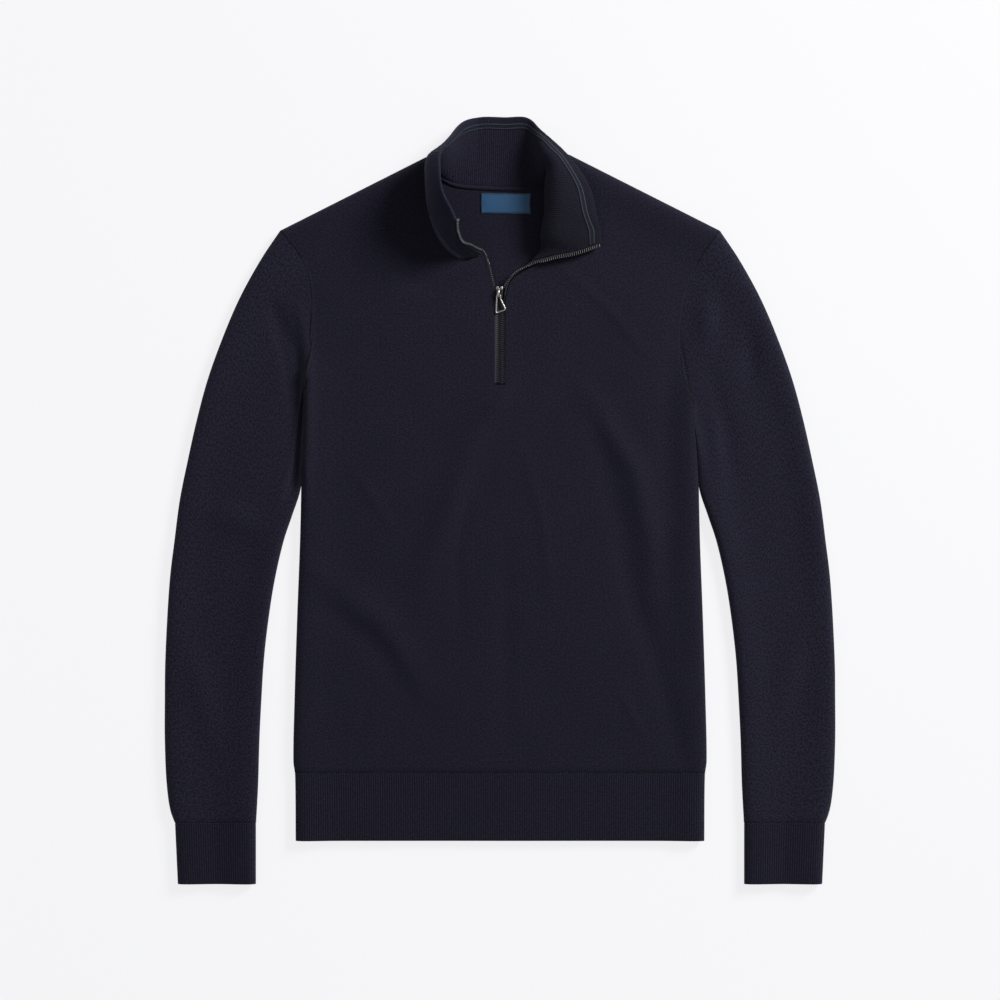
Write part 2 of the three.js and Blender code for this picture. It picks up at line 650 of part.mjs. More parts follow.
// A face of the collar: ribbed between two stations, plain and coarse elsewhere
function collarFace(facing, ribFrom, ribTo) {
  const fine = evenStations(COLLAR_PITCH / 2);
  const plainStep = 6;
  const kept = fine
    .map((u, i) => ({ u, rib: u > ribFrom && u < ribTo && i % 2 === 1, i }))
    .filter(({ u, i }) => (u >= ribFrom && u <= ribTo) || i % plainStep === 0 || i === fine.length - 1);
  return {
    rows: COLLAR_ROWS.map((w) => kept.map(({ u, rib }) => {
      const half = (w === 1 ? TOP_HALF : COLLAR_HALF) + (rib && w < 1 ? COLLAR_RIB : 0);
      return collarPoint(u, w, facing * half);
    })),
    rowMarks: COLLAR_ROWS,
    columnMarks: kept.map(({ u }) => u),
  };
}

addPart('collar', closedSkin(collarFace(1, STANDING_END - 0.03, 1), collarFace(-1, 0, STANDING_END)), RIB);

// Binding tape that lies on the collar's inside, just under its top edge
function collarBinding() {
  const endGap = 0.006;
  const stations = evenStations(6).map((u) => endGap + (1 - 2 * endGap) * u);
  const belowTop = (u, distance) => 1 - distance / 3
    / COLLAR_LINES.top.getPoint(u).distanceTo(COLLAR_LINES.high.getPoint(u));
  const face = (off) => ({
    rows: BINDING_LINES.map((distance) => stations.map(
      (u) => collarPoint(u, belowTop(u, distance), COLLAR_HALF + off),
    )),
    rowMarks: [...BINDING_LINES.keys()],
    columnMarks: stations,
  });
  const clear = COLLAR_RIB + SEAM_GAP;
  return closedSkin(face(clear + TAPE), face(clear));
}
addPart('collar_binding', collarBinding(), BINDING);

addPart('neck_label', box([LABEL.left, LABEL.low, CLOTH + SEAM_GAP],
  [LABEL.right, LABEL.high, CLOTH + SEAM_GAP + LABEL.thick]), LABEL_CLOTH);

// Zip edges: place on the cloth's edge, the way out to the teeth, and the way the zip faces
const SLOT_LEVELS = [SLOT_BOTTOM + 1.4, 140, 162, 184, 204];

function slotFrames(sign) {
  return SLOT_LEVELS.map((y) => ({
    at: new THREE.Vector3(sign * SLOT_HALF, y, zipLevel(y)),
    out: new THREE.Vector3(-sign, 0, 0),
    face: new THREE.Vector3(0, 0, 1),
  }));
}

// Middle height of the zip in the slot
function zipLevel(y) {
  const farInside = 100;
  return topAt(0, y, farInside) - CLOTH / 2 - ZIP_DROP;
}

const END_ROWS = [0.02, ...COLLAR_ROWS.slice(1, -1), 0.98];
const STANDING_EASE = 0.15;   // how far the zip stands off the collar's standing end

// The way up the end of the collar at a station
function edgeWay(u, w) {
  return collarMid(u, Math.min(w + 0.1, 1)).sub(collarMid(u, Math.max(w - 0.1, 0))).normalize();
}

// The standing end, where the tape carries on in the collar's own face
function standingEndFrames() {
  return END_ROWS.map((w) => {
    const { point, along, inside } = collarFrame(0, w);
    const out = new THREE.Vector3().crossVectors(inside, edgeWay(0, w)).normalize();
    if (out.dot(along) > 0) out.negate();
    return { at: point.addScaledVector(out, STANDING_EASE), out, face: inside.negate() };
  });
}

// The end that lies open, where the tape swings out flat below the collar
function openEndFrames() {
  return END_ROWS.map((w) => {
    const { point, along } = collarFrame(1, w);
    const rest = (1 - w) ** 3;
    const out = new THREE.Vector3(0.15 + 0.2 * rest, -0.97, 0.6 * rest).normalize();
    const face = new THREE.Vector3().crossVectors(edgeWay(1, w), out).normalize();
    return { at: point.addScaledVector(along, 0.6 * rest), out, face };
  });
}

function rightZipFrames() {
  const open = OPENING_EDGE.map(({ at, rise }) => ({
    at: new THREE.Vector3(...at),
    out: new THREE.Vector3(1, rise, 0).normalize(),
    face: new THREE.Vector3(0, 0, 1),
  }));
  return [...slotFrames(-1), ...open, ...standingEndFrames()];
}

function leftZipFrames() {
  const turned = TURNED_EDGE.map(({ at, turn }, i) => {
    const angle = THREE.MathUtils.degToRad(turn);
    const before = TURNED_EDGE[Math.max(i - 1, 0)].at;
    const after = TURNED_EDGE[Math.min(i + 1, TURNED_EDGE.length - 1)].at;
    const path = new THREE.Vector3(after[0] - before[0], after[1] - before[1], 0).normalize();
    const flat = new THREE.Vector3(-path.y, path.x, 0);
    const out = flat.multiplyScalar(Math.cos(angle)).add(new THREE.Vector3(0, 0, Math.sin(angle)));
    return { at: new THREE.Vector3(...at), out, face: new THREE.Vector3().crossVectors(path, out) };
  });
  return [...slotFrames(1), ...turned, ...openEndFrames()];
}

// A flat bar along a zip edge, between two distances out and two heights off the cloth's middle
function edgeBar(frames, from, to, low, high) {
  return loft(frames.map(({ at, out, face }) => [[from, low], [to, low], [to, high], [from, high]].map(
    ([away, up]) => at.clone().addScaledVector(out, away).addScaledVector(face, up),
  )));
}

const TEETH_FROM = SLOT_HALF - CHAIN_HALF;
const TEETH_TO = TEETH_FROM + TEETH_REACH;
const TAPE_FROM = SEAM_GAP;
const TAPE_TO = TEETH_FROM - SEAM_GAP;
const zipTop = zipLevel(SLIDER.y);
const sliderLow = SLIDER.y - SLIDER.length / 2;
const sliderHigh = SLIDER.y + SLIDER.length / 2;
const ROOM = { half: 5, end: 0.4, high: 40 };
const sliderRoom = toManifold(box(
  [SLIDER.x - ROOM.half, sliderLow - ROOM.end, 0],
  [SLIDER.x + ROOM.half, sliderHigh + ROOM.end, ROOM.high],
));

for (const [side, frames] of [['right', rightZipFrames()], ['left', leftZipFrames()]]) {
  addPart(`zip_tape_${side}`, edgeBar(frames, TAPE_FROM, TAPE_TO, -TAPE / 2, TAPE / 2), ZIP_TAPE);
  const open = frames.slice(SLOT_LEVELS.length);
  addPart(`zip_teeth_${side}`, fromManifold(toManifold(
    edgeBar(open, TEETH_FROM, TEETH_TO, -TEETH_HALF, TEETH_HALF),
  ).subtract(sliderRoom)), ZIP_METAL);
}

function closedChain() {
  const levels = [SLOT_BOTTOM + 0.4, ...SLOT_LEVELS.slice(1, -1), sliderLow - 0.5];
  return loft(levels.map((y) => [[-1, -1], [1, -1], [1, 1], [-1, 1]].map(
    ([side, face]) => new THREE.Vector3(side * CHAIN_HALF, y, zipLevel(y) + face * TEETH_HALF),
  )));
}
addPart('zip_chain', closedChain(), ZIP_METAL);

// Slider: a shield-shaped body with a bridge that holds the pull
const PLATE_OUTLINE = [[-2.8, -6.3], [2.8, -6.3], [3.7, -2], [3.7, 3.4], [3, 6.3], [1.4, 6.3],
  [0, 4.4], [-1.4, 6.3], [-3, 6.3], [-3.7, 3.4], [-3.7, -2]];
const plateBottom = zipTop - 1.9;
const plateTop = plateBottom + SLIDER.plate;
const BRIDGE = { x: -1.4, half: 0.8, low: -5.2, high: 3.2, leg: 1.1, root: -0.5, hole: 2.9, thick: 1.1 };

function zipSlider() {
  const outline = PLATE_OUTLINE.map(([x, y]) => [x + SLIDER.x, y + SLIDER.y]);
  const bar = (y0, y1, z0, z1) => toManifold(box(
    [BRIDGE.x - BRIDGE.half, SLIDER.y + y0, plateTop + z0],
    [BRIDGE.x + BRIDGE.half, SLIDER.y + y1, plateTop + z1],
  ));
  const { low, high, leg, root, hole, thick } = BRIDGE;
  return fromManifold(toManifold(prism(outline, plateBottom, plateTop))
    .add(bar(low, low + leg, root, hole + thick))
    .add(bar(high - leg, high, root, hole + thick))
    .add(bar(low, high, hole, hole + thick)));
}
addPart('zip_slider', zipSlider(), ZIP_METAL);

// Pull: a bent wire ring whose short bar turns under the bridge
const PULL_AXIS = { y: SLIDER.y - 2.9, z: plateTop + 1.4 };
const PULL_END_Z = zipLevel(195) + TEETH_HALF + 0.7 + WIRE;
const PULL_CORNERS = [[-3.4, 0, 0], [0.6, 0, 0], [5.9, -14.8, 1], [-3.9, -18.4, 1]];

function zipPull() {
  const rings = [];
  const bend = 1.3;
  const sides = 8;
  const corners = PULL_CORNERS.map(([x, y, far]) => new THREE.Vector3(
    x,
    PULL_AXIS.y + y,
    far ? PULL_END_Z : PULL_AXIS.z,
  ));
  const centre = corners.reduce((sum, corner) => sum.add(corner), new THREE.Vector3()).divideScalar(4);
  const across = new THREE.Vector3(1, 0, 0);
  const down = corners[2].clone().sub(corners[1]).setX(0).normalize();
  const normal = new THREE.Vector3().crossVectors(across, down).normalize();
  corners.forEach((corner, i) => {
    for (const step of [3, 1]) {
      const toward = corners[(i + step) % 4].clone().sub(corner).normalize();
      const point = corner.clone().addScaledVector(toward, bend);
      const radial = point.clone().sub(centre).projectOnPlane(normal).normalize();
      rings.push(Array.from({ length: sides }, (_, k) => {
        const angle = 2 * Math.PI * k / sides;
        return point.clone()
          .addScaledVector(radial, WIRE * Math.cos(angle))
          .addScaledVector(normal, WIRE * Math.sin(angle));
      }));
    }
  });
  return loft(rings, true);
}
addPart('zip_pull', zipPull(), ZIP_METAL);

export default sweater;
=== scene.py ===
# Quarter zip sweater laid flat, front up, with its ribbed collar turned open.
import math

import bpy
import numpy as np
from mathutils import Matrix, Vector
from mathutils.bvhtree import BVHTree


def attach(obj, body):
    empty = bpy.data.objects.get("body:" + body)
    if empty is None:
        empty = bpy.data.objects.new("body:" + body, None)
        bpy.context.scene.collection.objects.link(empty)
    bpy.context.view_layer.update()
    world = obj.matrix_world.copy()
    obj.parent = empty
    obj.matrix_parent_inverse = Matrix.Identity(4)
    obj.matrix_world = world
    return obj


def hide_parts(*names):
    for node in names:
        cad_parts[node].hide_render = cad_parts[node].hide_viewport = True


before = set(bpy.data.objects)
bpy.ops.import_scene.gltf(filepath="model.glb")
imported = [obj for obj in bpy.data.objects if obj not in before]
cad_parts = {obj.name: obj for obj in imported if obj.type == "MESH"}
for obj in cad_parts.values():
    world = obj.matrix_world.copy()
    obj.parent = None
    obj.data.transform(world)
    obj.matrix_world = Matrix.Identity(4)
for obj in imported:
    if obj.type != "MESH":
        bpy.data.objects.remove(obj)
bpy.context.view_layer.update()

# Sizes in millimetres, as in the part. +X is the wearer's left and +Y runs to the collar.
MM = 0.001
SIDES = {"right": -1, "left": 1}
CLOTH = 2.2
SEAM_GAP = 0.3
ARMHOLE_GAP = 0.6
EDGE_RADIUS = 9
MID = 5.5
FLAT_TOP = 7.4
EDGE_TOP = 11
ROLL_REACH = 22
LOWEST_TOP = 2 * CLOTH + SEAM_GAP + 0.2
FOLD_END = 0.3
SHOULDER = (225.5, 277)
NECK_POINT = (70, 355.5)
SHOULDER_FALL = (NECK_POINT[1] - SHOULDER[1]) / (SHOULDER[0] - NECK_POINT[0])
SHOULDER_COSINE = 1 / math.hypot(1, SHOULDER_FALL)
HEM_SEAM = -280.2
HEM_BOTTOM = -350.2
CUFF_SEAM = -331.7
CUFF_BOTTOM = -394.5
CUFF_INNER = 250.8
CUFF_OUTER = (334, 331.1)
RIB_PITCH = 2.36
SEAM_DIP = 1.2      # how far the cloth sinks above the bands
RIB_HEIGHT = 0.55
COLLAR_PITCH = 2.07
COLLAR_RIB = 0.4
COLLAR_HALF = 1.5
SLOT_HALF = 5.9
SLOT_TOP = 207
SLOT_BOTTOM = 118.5
ZIP_DROP = 0.9
TEETH_PITCH = 2.2
TEETH_HALF = 1.3
TAPE = 0.8
SLIDER = {"x": -0.6, "y": 213.2, "length": 12.6, "high": 4.9, "below": 1.9, "plate": 1.35}
WIRE = 0.8
PULL_END = 195
BRIDGE = {"x": -1.6, "half": 1.1, "low": -5.0, "high": 3.1}
BINDING_LINES = (12.4, 6.9)   # the binding's two edges, below the collar's top edge
BINDING_CORDS = (0.5, 4.9)    # its two pale cords, above its lower edge
BINDING_DIP = 3.4             # how much lower it runs near the end of the open flap
LABEL = {"left": -19.5, "right": 31.4, "low": 294.6, "high": 315.6, "thick": 0.7}

# Widths that the cloth's columns and rows are spaced by
BODY_WIDTH = 414
ARM_OPENING = 159
HEM_WIDTH = 420
CUFF_WIDTH = 83
SHARP_ANGLE = 50

# Height on the garment and distance from its middle, along the side seam and the armholes
SIDE_SEAM = [(-350.2, 210.0), (-283, 210.6), (-268, 212.4), (-206, 211.2), (-123.6, 208.6),
             (-41, 205.5), (13.4, 204.3), (125, 202.2)]
ARMHOLES = {
    "right": [(118.5, 202.4), (159.6, 193.6), (195.7, 192.6), (226.6, 195.6), (249.3, 204.4), (277, 225.5)],
    "left": [(100, 202.4), (122.6, 189.5), (150, 185.5), (180, 186), (213, 191.5), (243, 203), (277, 225.5)],
}
SLEEVE_OUTER = [
    (225.8, 277), (245.7, 247.2), (268.3, 206), (285.8, 164.8), (300.5, 123.6), (311.6, 82.4),
    (320.8, 41.2), (329.1, 0), (334.5, -41.2), (339.4, -82.4), (344, -164.8), (344.5, -206),
    (344.5, -247.2), (342.5, -292.5), (339, -318), (334.4, -331.7)]
SLEEVE_INNER = [
    (204.4, 13), (213.4, -15.5), (222, -41.2), (231.5, -82.4), (238, -123.6), (242.6, -164.8),
    (245.2, -206), (247.2, -247.2), (248.5, -292.5), (250.6, -331.7)]

# How far each sleeve sinks beside the body, how far from its edge, and over what reach
SLEEVE_DROP = {"right": (7.5, 12, 7.5), "left": (3.0, 0, 12)}
BESIDE_BODY = (-12, 30, 130, 190)   # heights over which it starts and stops doing so
TUCK_RISE = 3.4                     # how much the right sleeve's inner edge stands up there
TUCK_TIGHT = 5                      # how much tighter that edge turns
UNDERARM = (201.6, 58)              # where a sleeve's inner edge slips under the side
STEEP_SIDE = (5, 40, 110, 125)      # heights where the body's edge turns tightly beside the sleeve
STEEPER_SIDE = 5                    # how much tighter it turns there

# Main folds of the front layer, as in the part: height, reach to either side, and line
FOLDS = [
    (-2.2, 14, [(196, 227), (178, 134), (173, 51), (178, -21), (165, -103)]),
    (-2.4, 11, [(93, 93), (124, -31), (136, -103), (160, -165), (176, -227), (191, -278)]),
    (4.2, 13, [(86, 113), (138, 31), (154, -41), (160, -103)]),
    (3, 20, [(-6, 108), (6, 96)]),
    (3.8, 15, [(-14, 93), (-61, -31), (-82, -82)]),
    (3.8, 16, [(-192, -72), (-123, -124), (-77, -196)]),
    (-1.6, 12, [(-178, -112), (-118, -158), (-92, -206)]),
    (-1.2, 9, [(5.7, -31), (5.7, -247)]),
    (3, 11, [(212, 210), (212, 162)]),
    (-2, 9, [(258, 178), (257, 113)]),
    (-2.2, 9, [(216, 132), (232, 72), (238, 31)]),
    (-2.5, 9, [(-211, 175), (-210, 120), (-212, 60), (-214, 13)]),
    (2.8, 15, [(-300, -10), (-236, -31)]),
    (2.2, 13, [(-318, -150), (-292, -262)]),
    (2.2, 13, [(312, -120), (284, -236)]),
]

# Small creases that only show close up: height, reach and line
FINE_FOLDS = [
    (4.2, 6.5, [(-206, 196), (-199, 156), (-196.5, 116), (-197, 60), (-199, -5)]),
    (-7, 7, [(-232, 196), (-222, 166), (-214, 140), (-212, 100)]),
    (0.9, 5, [(60, 240), (112, 196), (150, 150)]),
    (-0.8, 5, [(-70, 214), (-120, 170), (-160, 120)]),
    (0.8, 6, [(20, 60), (44, -20), (52, -110)]),
    (-0.9, 6, [(-30, 20), (-44, -60), (-40, -140)]),
    (0.9, 6, [(-150, 30), (-110, -30)]),
    (0.8, 5, [(120, -190), (150, -250)]),
    (-0.7, 5, [(-130, -190), (-150, -262)]),
    (0.8, 6, [(300, 60), (262, 30)]),
    (-0.8, 5, [(322, -20), (276, -52)]),
    (0.8, 6, [(-262, 120), (-300, 70)]),
    (-0.7, 5, [(-270, -90), (-318, -104)]),
    (1.6, 26, [(-95, 262), (-122, 190)]),
    (1.4, 8, [(222, 100), (222, 50), (228, 0)]),
    (-1.0, 9, [(-20, 228), (-64, 216), (-110, 232)]),
]

# Collar stations: seam, a third up, two thirds up, top edge
COLLAR = [
    ((-17.5, 253.8, 6.3), (-30, 259.4, 23), (-43, 268, 42), (-45.1, 285.5, 56)),
    ((-36, 250.2, 6.3), (-43, 260, 24), (-49.5, 276, 43), (-50.5, 296.5, 60)),
    ((-54.5, 264.5, 6.3), (-58, 275, 25), (-58.5, 290, 45), (-56.5, 308, 62)),
    ((-68, 292.5, 6.3), (-71.5, 297, 24), (-69, 306, 47), (-59.5, 319, 64)),
    ((-71.5, 324, 6), (-74.5, 326, 23), (-73, 329, 46), (-60.5, 333, 63)),
    ((-68.5, 342, 5.4), (-73, 347, 20), (-70.5, 350, 42), (-60, 350, 56)),
    ((-60, 333, 3.2), (-64, 345, 15), (-58, 358, 29), (-48.5, 371, 36)),
    ((-45, 323.9, 1.6), (-45, 343, 5), (-42, 365, 9), (-37, 388, 13)),
    ((-25, 322.3, 1.5), (-24, 345, 1.5), (-23, 369, 1.5), (-21.5, 393.8, 1.5)),
    ((8, 320.8, 1.5), (7, 345, 1.5), (6, 369, 1.5), (5, 393.8, 1.5)),
    ((34, 321.8, 1.5), (32, 344, 4), (30, 368, 6), (28, 393, 4)),
    ((49, 325.5, 2), (44, 339, 17), (43.5, 358, 25), (43, 378, 15)),
    ((62, 340, 5.4), (48.5, 338, 22), (54, 347, 31), (71, 351, 18)),
    ((62.3, 322, 6.6), (47, 320, 22), (58, 322, 31), (92.5, 319, 16)),
    ((61, 294, 6.8), (47, 296, 21), (58, 296, 28), (99.5, 288.5, 14.5)),
    ((46, 261, 7.2), (44, 266.5, 16), (58, 270, 23), (103, 277, 14)),
    ((33, 245.8, 9), (56, 251.5, 14.5), (79, 256, 15), (103.5, 264, 13.5)),
]
FRONT_NECK = [
    (-7, 215), (-9.4, 225), (-12.8, 238.3), (-16, 249), (-24, 249.2), (-36.5, 245.6), (-58, 260.6),
    (-73, 291), (-77.4, 324.5), (-76, 347), (-76, 372), (67, 372), (67, 350), (64.5, 322), (63.5, 292),
    (49, 256.5), (37, 241.5), (28, 236.8), (20.4, 232.4), (13.6, 227.2), (9.6, 221.5), (7.4, 214)]
SLOT = [
    (SLOT_HALF, SLOT_TOP), (SLOT_HALF, SLOT_BOTTOM + 1.2), (SLOT_HALF - 1.2, SLOT_BOTTOM),
    (1.2 - SLOT_HALF, SLOT_BOTTOM), (-SLOT_HALF, SLOT_BOTTOM + 1.2), (-SLOT_HALF, SLOT_TOP)]
BACK_NECK = [
    (-73.5, 372), (-67, 346), (-60.5, 331), (-45.8, 322.9), (-25, 321.4), (8, 319.9),
    (35, 320.9), (52, 324.2), (60, 333), (65, 346), (68, 372)]
TURNED_EDGE = [
    ((7, 216, 7), 10), ((9.2, 223, 7.9), 35), ((13.4, 229.8, 8.7), 60),
    ((19.4, 235.4, 9.4), 85), ((25.6, 240, 9.9), 110)]


# Curves and heights

def smooth_out(rows, up):
    """Smooth distance from the middle at a height, through the rows of a table."""
    ups, outs = (np.array(column, float) for column in zip(*rows))
    last = len(ups) - 1
    k = np.clip(np.searchsorted(ups, up, side="right") - 1, 0, last - 1)
    i = np.arange(last + 1)
    after, before = np.minimum(i + 1, last), np.maximum(i - 1, 0)
    slopes = (outs[after] - outs[before]) / (ups[after] - ups[before])
    step = ups[k + 1] - ups[k]
    t = np.clip((up - ups[k]) / step, 0, 1)
    rise = outs[k + 1] - outs[k]
    bend_a = slopes[k] * step - rise
    bend_b = rise - slopes[k + 1] * step
    return outs[k] + t * rise + t * (1 - t) * ((1 - t) * bend_a + t * bend_b)


def rounding(distance, radius):
    """Height share of a rounded edge at a distance inside it."""
    q = np.clip(distance / radius, 0, 1)
    return np.sqrt(1 - (1 - q) ** 2)


def smoothstep(x, low, high):
    t = np.clip((x - low) / (high - low), 0, 1)
    return t * t * (3 - 2 * t)


def swell_between(x, marks):
    """Rises from 0 to 1 between the first two marks and falls back between the last two."""
    return smoothstep(x, *marks[:2]) * (1 - smoothstep(x, *marks[2:]))


def unit(v):
    return v / np.linalg.norm(v, axis=-1, keepdims=True)


def nearest_on_line(x, y, line):
    """Distance of each place from a fold's line, and the share of the line before it."""
    points = np.array(line, float)
    steps = np.diff(points, axis=0)
    lengths = np.hypot(*steps.T)
    before = np.concatenate([[0], np.cumsum(lengths)])
    best = np.full(np.shape(x), np.inf)
    along = np.zeros(np.shape(x))
    for (ax, ay), (dx, dy), length, start in zip(points, steps, lengths, before):
        t = np.clip(((x - ax) * dx + (y - ay) * dy) / length**2, 0, 1)
        away = np.hypot(x - ax - t * dx, y - ay - t * dy)
        along = np.where(away < best, (start + t * length) / before[-1], along)
        best = np.minimum(best, away)
    return best, along


def top_at(x, y, inside):
    """Top of the upper layer at a place, a given distance inside its nearest edge."""
    roll = np.exp(-((np.maximum(inside - EDGE_RADIUS, 0) / ROLL_REACH) ** 2))
    top = FLAT_TOP + (EDGE_TOP - FLAT_TOP) * roll
    for height, reach, line in FOLDS + FINE_FOLDS:
        away, along = nearest_on_line(x, y, line)
        fade = FOLD_END + (1 - FOLD_END) * np.sin(np.pi * along)
        top = top + height * fade * np.exp(-((away / reach) ** 2))
    top = top + 0.22 * np.sin(x / 23 + y / 61) + 0.18 * np.sin(x / 41 - y / 29 + 1.3)
    return LOWEST_TOP + np.log1p(np.exp(np.clip(top - LOWEST_TOP, -30, 30)))


def smooth_through(controls, t):
    """Points of a centripetal curve through controls at shares t. Controls may be many curves at once."""
    controls = np.asarray(controls, float)
    t = np.asarray(t, float)
    count = len(controls)
    place = np.clip(t, 0, 1) * (count - 1)
    k = np.minimum(place.astype(int), count - 2)
    w = (place - k).reshape((-1,) + (1,) * (controls.ndim - 1))
    padded = np.concatenate([2 * controls[:1] - controls[1:2], controls, 2 * controls[-1:] - controls[-2:-1]])
    p0, p1, p2, p3 = (padded[k + i] for i in range(4))
    d0, d1, d2 = (
        np.sqrt(np.linalg.norm(b - a, axis=-1, keepdims=True)) + 1e-9
        for a, b in ((p0, p1), (p1, p2), (p2, p3))
    )
    m1 = d1 * ((p1 - p0) / d0 - (p2 - p0) / (d0 + d1) + (p2 - p1) / d1)
    m2 = d1 * ((p2 - p1) / d1 - (p3 - p1) / (d1 + d2) + (p3 - p2) / d2)
    c2 = -3 * p1 + 3 * p2 - 2 * m1 - m2
    c3 = 2 * p1 - 2 * p2 + m1 + m2
    return p1 + m1 * w + c2 * w**2 + c3 * w**3


def by_length(controls, shares):
    """Points at shares of a curve's length."""
    fine = smooth_through(controls, np.linspace(0, 1, 600))
    lengths = np.concatenate([[0], np.cumsum(np.linalg.norm(np.diff(fine, axis=0), axis=-1))])
    t = np.interp(np.asarray(shares) * lengths[-1], lengths, np.linspace(0, 1, 600))
    return smooth_through(controls, t)


def shares(width, edge_steps, inner):
    """Shares of a width, closer together in the rounded edges."""
    angles = np.linspace(0, np.pi / 2, edge_steps + 1)
    edge = EDGE_RADIUS * (1 - np.cos(angles)) / width
    middle = np.linspace(edge[-1], 1 - edge[-1], inner + 1)[1:-1]
    return np.concatenate([edge, middle, 1 - edge[::-1]])


# Mesh making

def make_object(name, points, faces, uvs, material, sharp=SHARP_ANGLE):
    """A mesh piece in the frame, from points in millimetres and a knit map in millimetres."""
    mesh = bpy.data.meshes.new(name)
    mesh.from_pydata((np.asarray(points) * MM).tolist(), [], faces)
    if uvs is not None:
        layer = mesh.uv_layers.new(name="knit")
        layer.uv.foreach_set("vector", (np.asarray(uvs, np.float32) * MM).ravel())
    mesh.validate()
    mesh.shade_smooth()
    mesh.set_sharp_from_angle(angle=math.radians(sharp))
    piece = bpy.data.objects.new(name, mesh)
    bpy.context.scene.collection.objects.link(piece)
    mesh.materials.append(material)
    return piece


class Sheet:
    """Rows of points with the marks of its rows and columns, and where each lies on the knit."""

    def __init__(self, points, row_marks, column_marks, ring=False):
        self.points = points
        self.row_marks = row_marks
        self.column_marks = column_marks
        self.ring = ring
        self.knit = self.lay_out()

    def lay_out(self):
        """Knit map: the distance round the middle row, and the distance up the middle column."""
        points = self.points
        if self.ring:
            points = np.concatenate([points, points[:, :1]], axis=1)
        steps = np.linalg.norm(np.diff(points, axis=1), axis=2)
        across = np.concatenate([np.zeros((len(points), 1)), np.cumsum(steps, axis=1)], axis=1)
        across = across - across[:, across.shape[1] // 4:across.shape[1] // 4 + 1]
        rises = np.linalg.norm(np.diff(points, axis=0), axis=2).mean(axis=1)
        up = np.concatenate([[0], np.cumsum(rises)])
        return np.stack([across, np.broadcast_to(up[:, None], across.shape)], axis=2)


def closed_skin(outer, inner):
    """Points, faces and knit map of a closed skin between an outer and an inner sheet."""
    faces = []
    corner_uvs = []
    start = 0
    grids = []
    maps = []
    for sheet in (outer, inner):
        rows, columns = sheet.points.shape[:2]
        grid = start + np.arange(rows * columns).reshape(rows, columns)
        if sheet.ring:
            grid = np.concatenate([grid, grid[:, :1]], axis=1)
        grids.append(grid)
        maps.append(sheet.knit)
        start += rows * columns
    for grid, knit, turn in ((grids[0], maps[0], 1), (grids[1], maps[1], -1)):
        corners = [(slice(None, -1), slice(None, -1)), (slice(None, -1), slice(1, None)),
                   (slice(1, None), slice(1, None)), (slice(1, None), slice(None, -1))][::turn]
        faces += np.stack([grid[c] for c in corners], axis=-1).reshape(-1, 4).tolist()
        corner_uvs.append(np.stack([knit[c] for c in corners], axis=2).reshape(-1, 2))

    def strip(a, marks_a, uv_a, b, marks_b, uv_b):
        i = j = 0
        while i < len(a) - 1 or j < len(b) - 1:
            next_a = marks_a[i + 1] if i < len(a) - 1 else math.inf
            next_b = marks_b[j + 1] if j < len(b) - 1 else math.inf
            if next_a <= next_b:
                faces.append([int(a[i]), int(a[i + 1]), int(b[j])])
                corner_uvs.append(np.stack([uv_a[i], uv_a[i + 1], uv_b[j]]))
                i += 1
            else:
                faces.append([int(a[i]), int(b[j + 1]), int(b[j])])
                corner_uvs.append(np.stack([uv_a[i], uv_b[j + 1], uv_b[j]]))
                j += 1

    marks = [list(s.column_marks) + ([1.0] if s.ring else []) for s in (outer, inner)]
    (og, ig), (om, im) = grids, maps
    strip(ig[0], marks[1], im[0], og[0], marks[0], om[0])
    strip(og[-1], marks[0], om[-1], ig[-1], marks[1], im[-1])
    if not outer.ring:
        strip(og[:, 0], outer.row_marks, om[:, 0], ig[:, 0], inner.row_marks, im[:, 0])
        strip(ig[:, -1], inner.row_marks, im[:, -1], og[:, -1], outer.row_marks, om[:, -1])
    points = np.concatenate([outer.points.reshape(-1, 3), inner.points.reshape(-1, 3)])
    return points, faces, np.concatenate(corner_uvs)


def turned_out(points, faces, uvs):
    """The same skin with its faces turned outwards."""
    a, b, c = (points[[face[i] for face in faces]] for i in range(3))
    if np.einsum("ij,ij->i", a, np.cross(b, c)).sum() > 0:
        return points, faces, uvs
    turned = []
    order = []
    at = 0
    for face in faces:
        turned.append(face[::-1])
        order += range(at + len(face) - 1, at - 1, -1)
        at += len(face)
    return points, turned, uvs[order]


# Front and back panels

def body_rows(low_rows, arm_shares):
    """Heights of a panel's rows at either side, below the armholes and beside them."""
    under = {side: ARMHOLES[side][0][0] for side in ARMHOLES}
    hem_edge = HEM_SEAM + SEAM_GAP / 2
    low = np.arange(low_rows) / low_rows
    arm = 1 - np.asarray(arm_shares)[::-1]
    rows = {side: np.concatenate([hem_edge + (under[side] - hem_edge) * low,
                                  under[side] + (SHOULDER[1] - under[side]) * arm]) for side in under}
    rows["lift"] = np.concatenate([np.zeros(low_rows), smoothstep(arm, 0, 0.93)])
    rows["arm"] = np.concatenate([np.zeros(low_rows, bool), np.ones(len(arm), bool)])
    return rows


def shoulder_top(x):
    """Height of the shoulder line above a place across the body."""
    out = np.clip(np.abs(x), NECK_POINT[0], SHOULDER[0])
    return NECK_POINT[1] - (out - NECK_POINT[0]) * SHOULDER_FALL


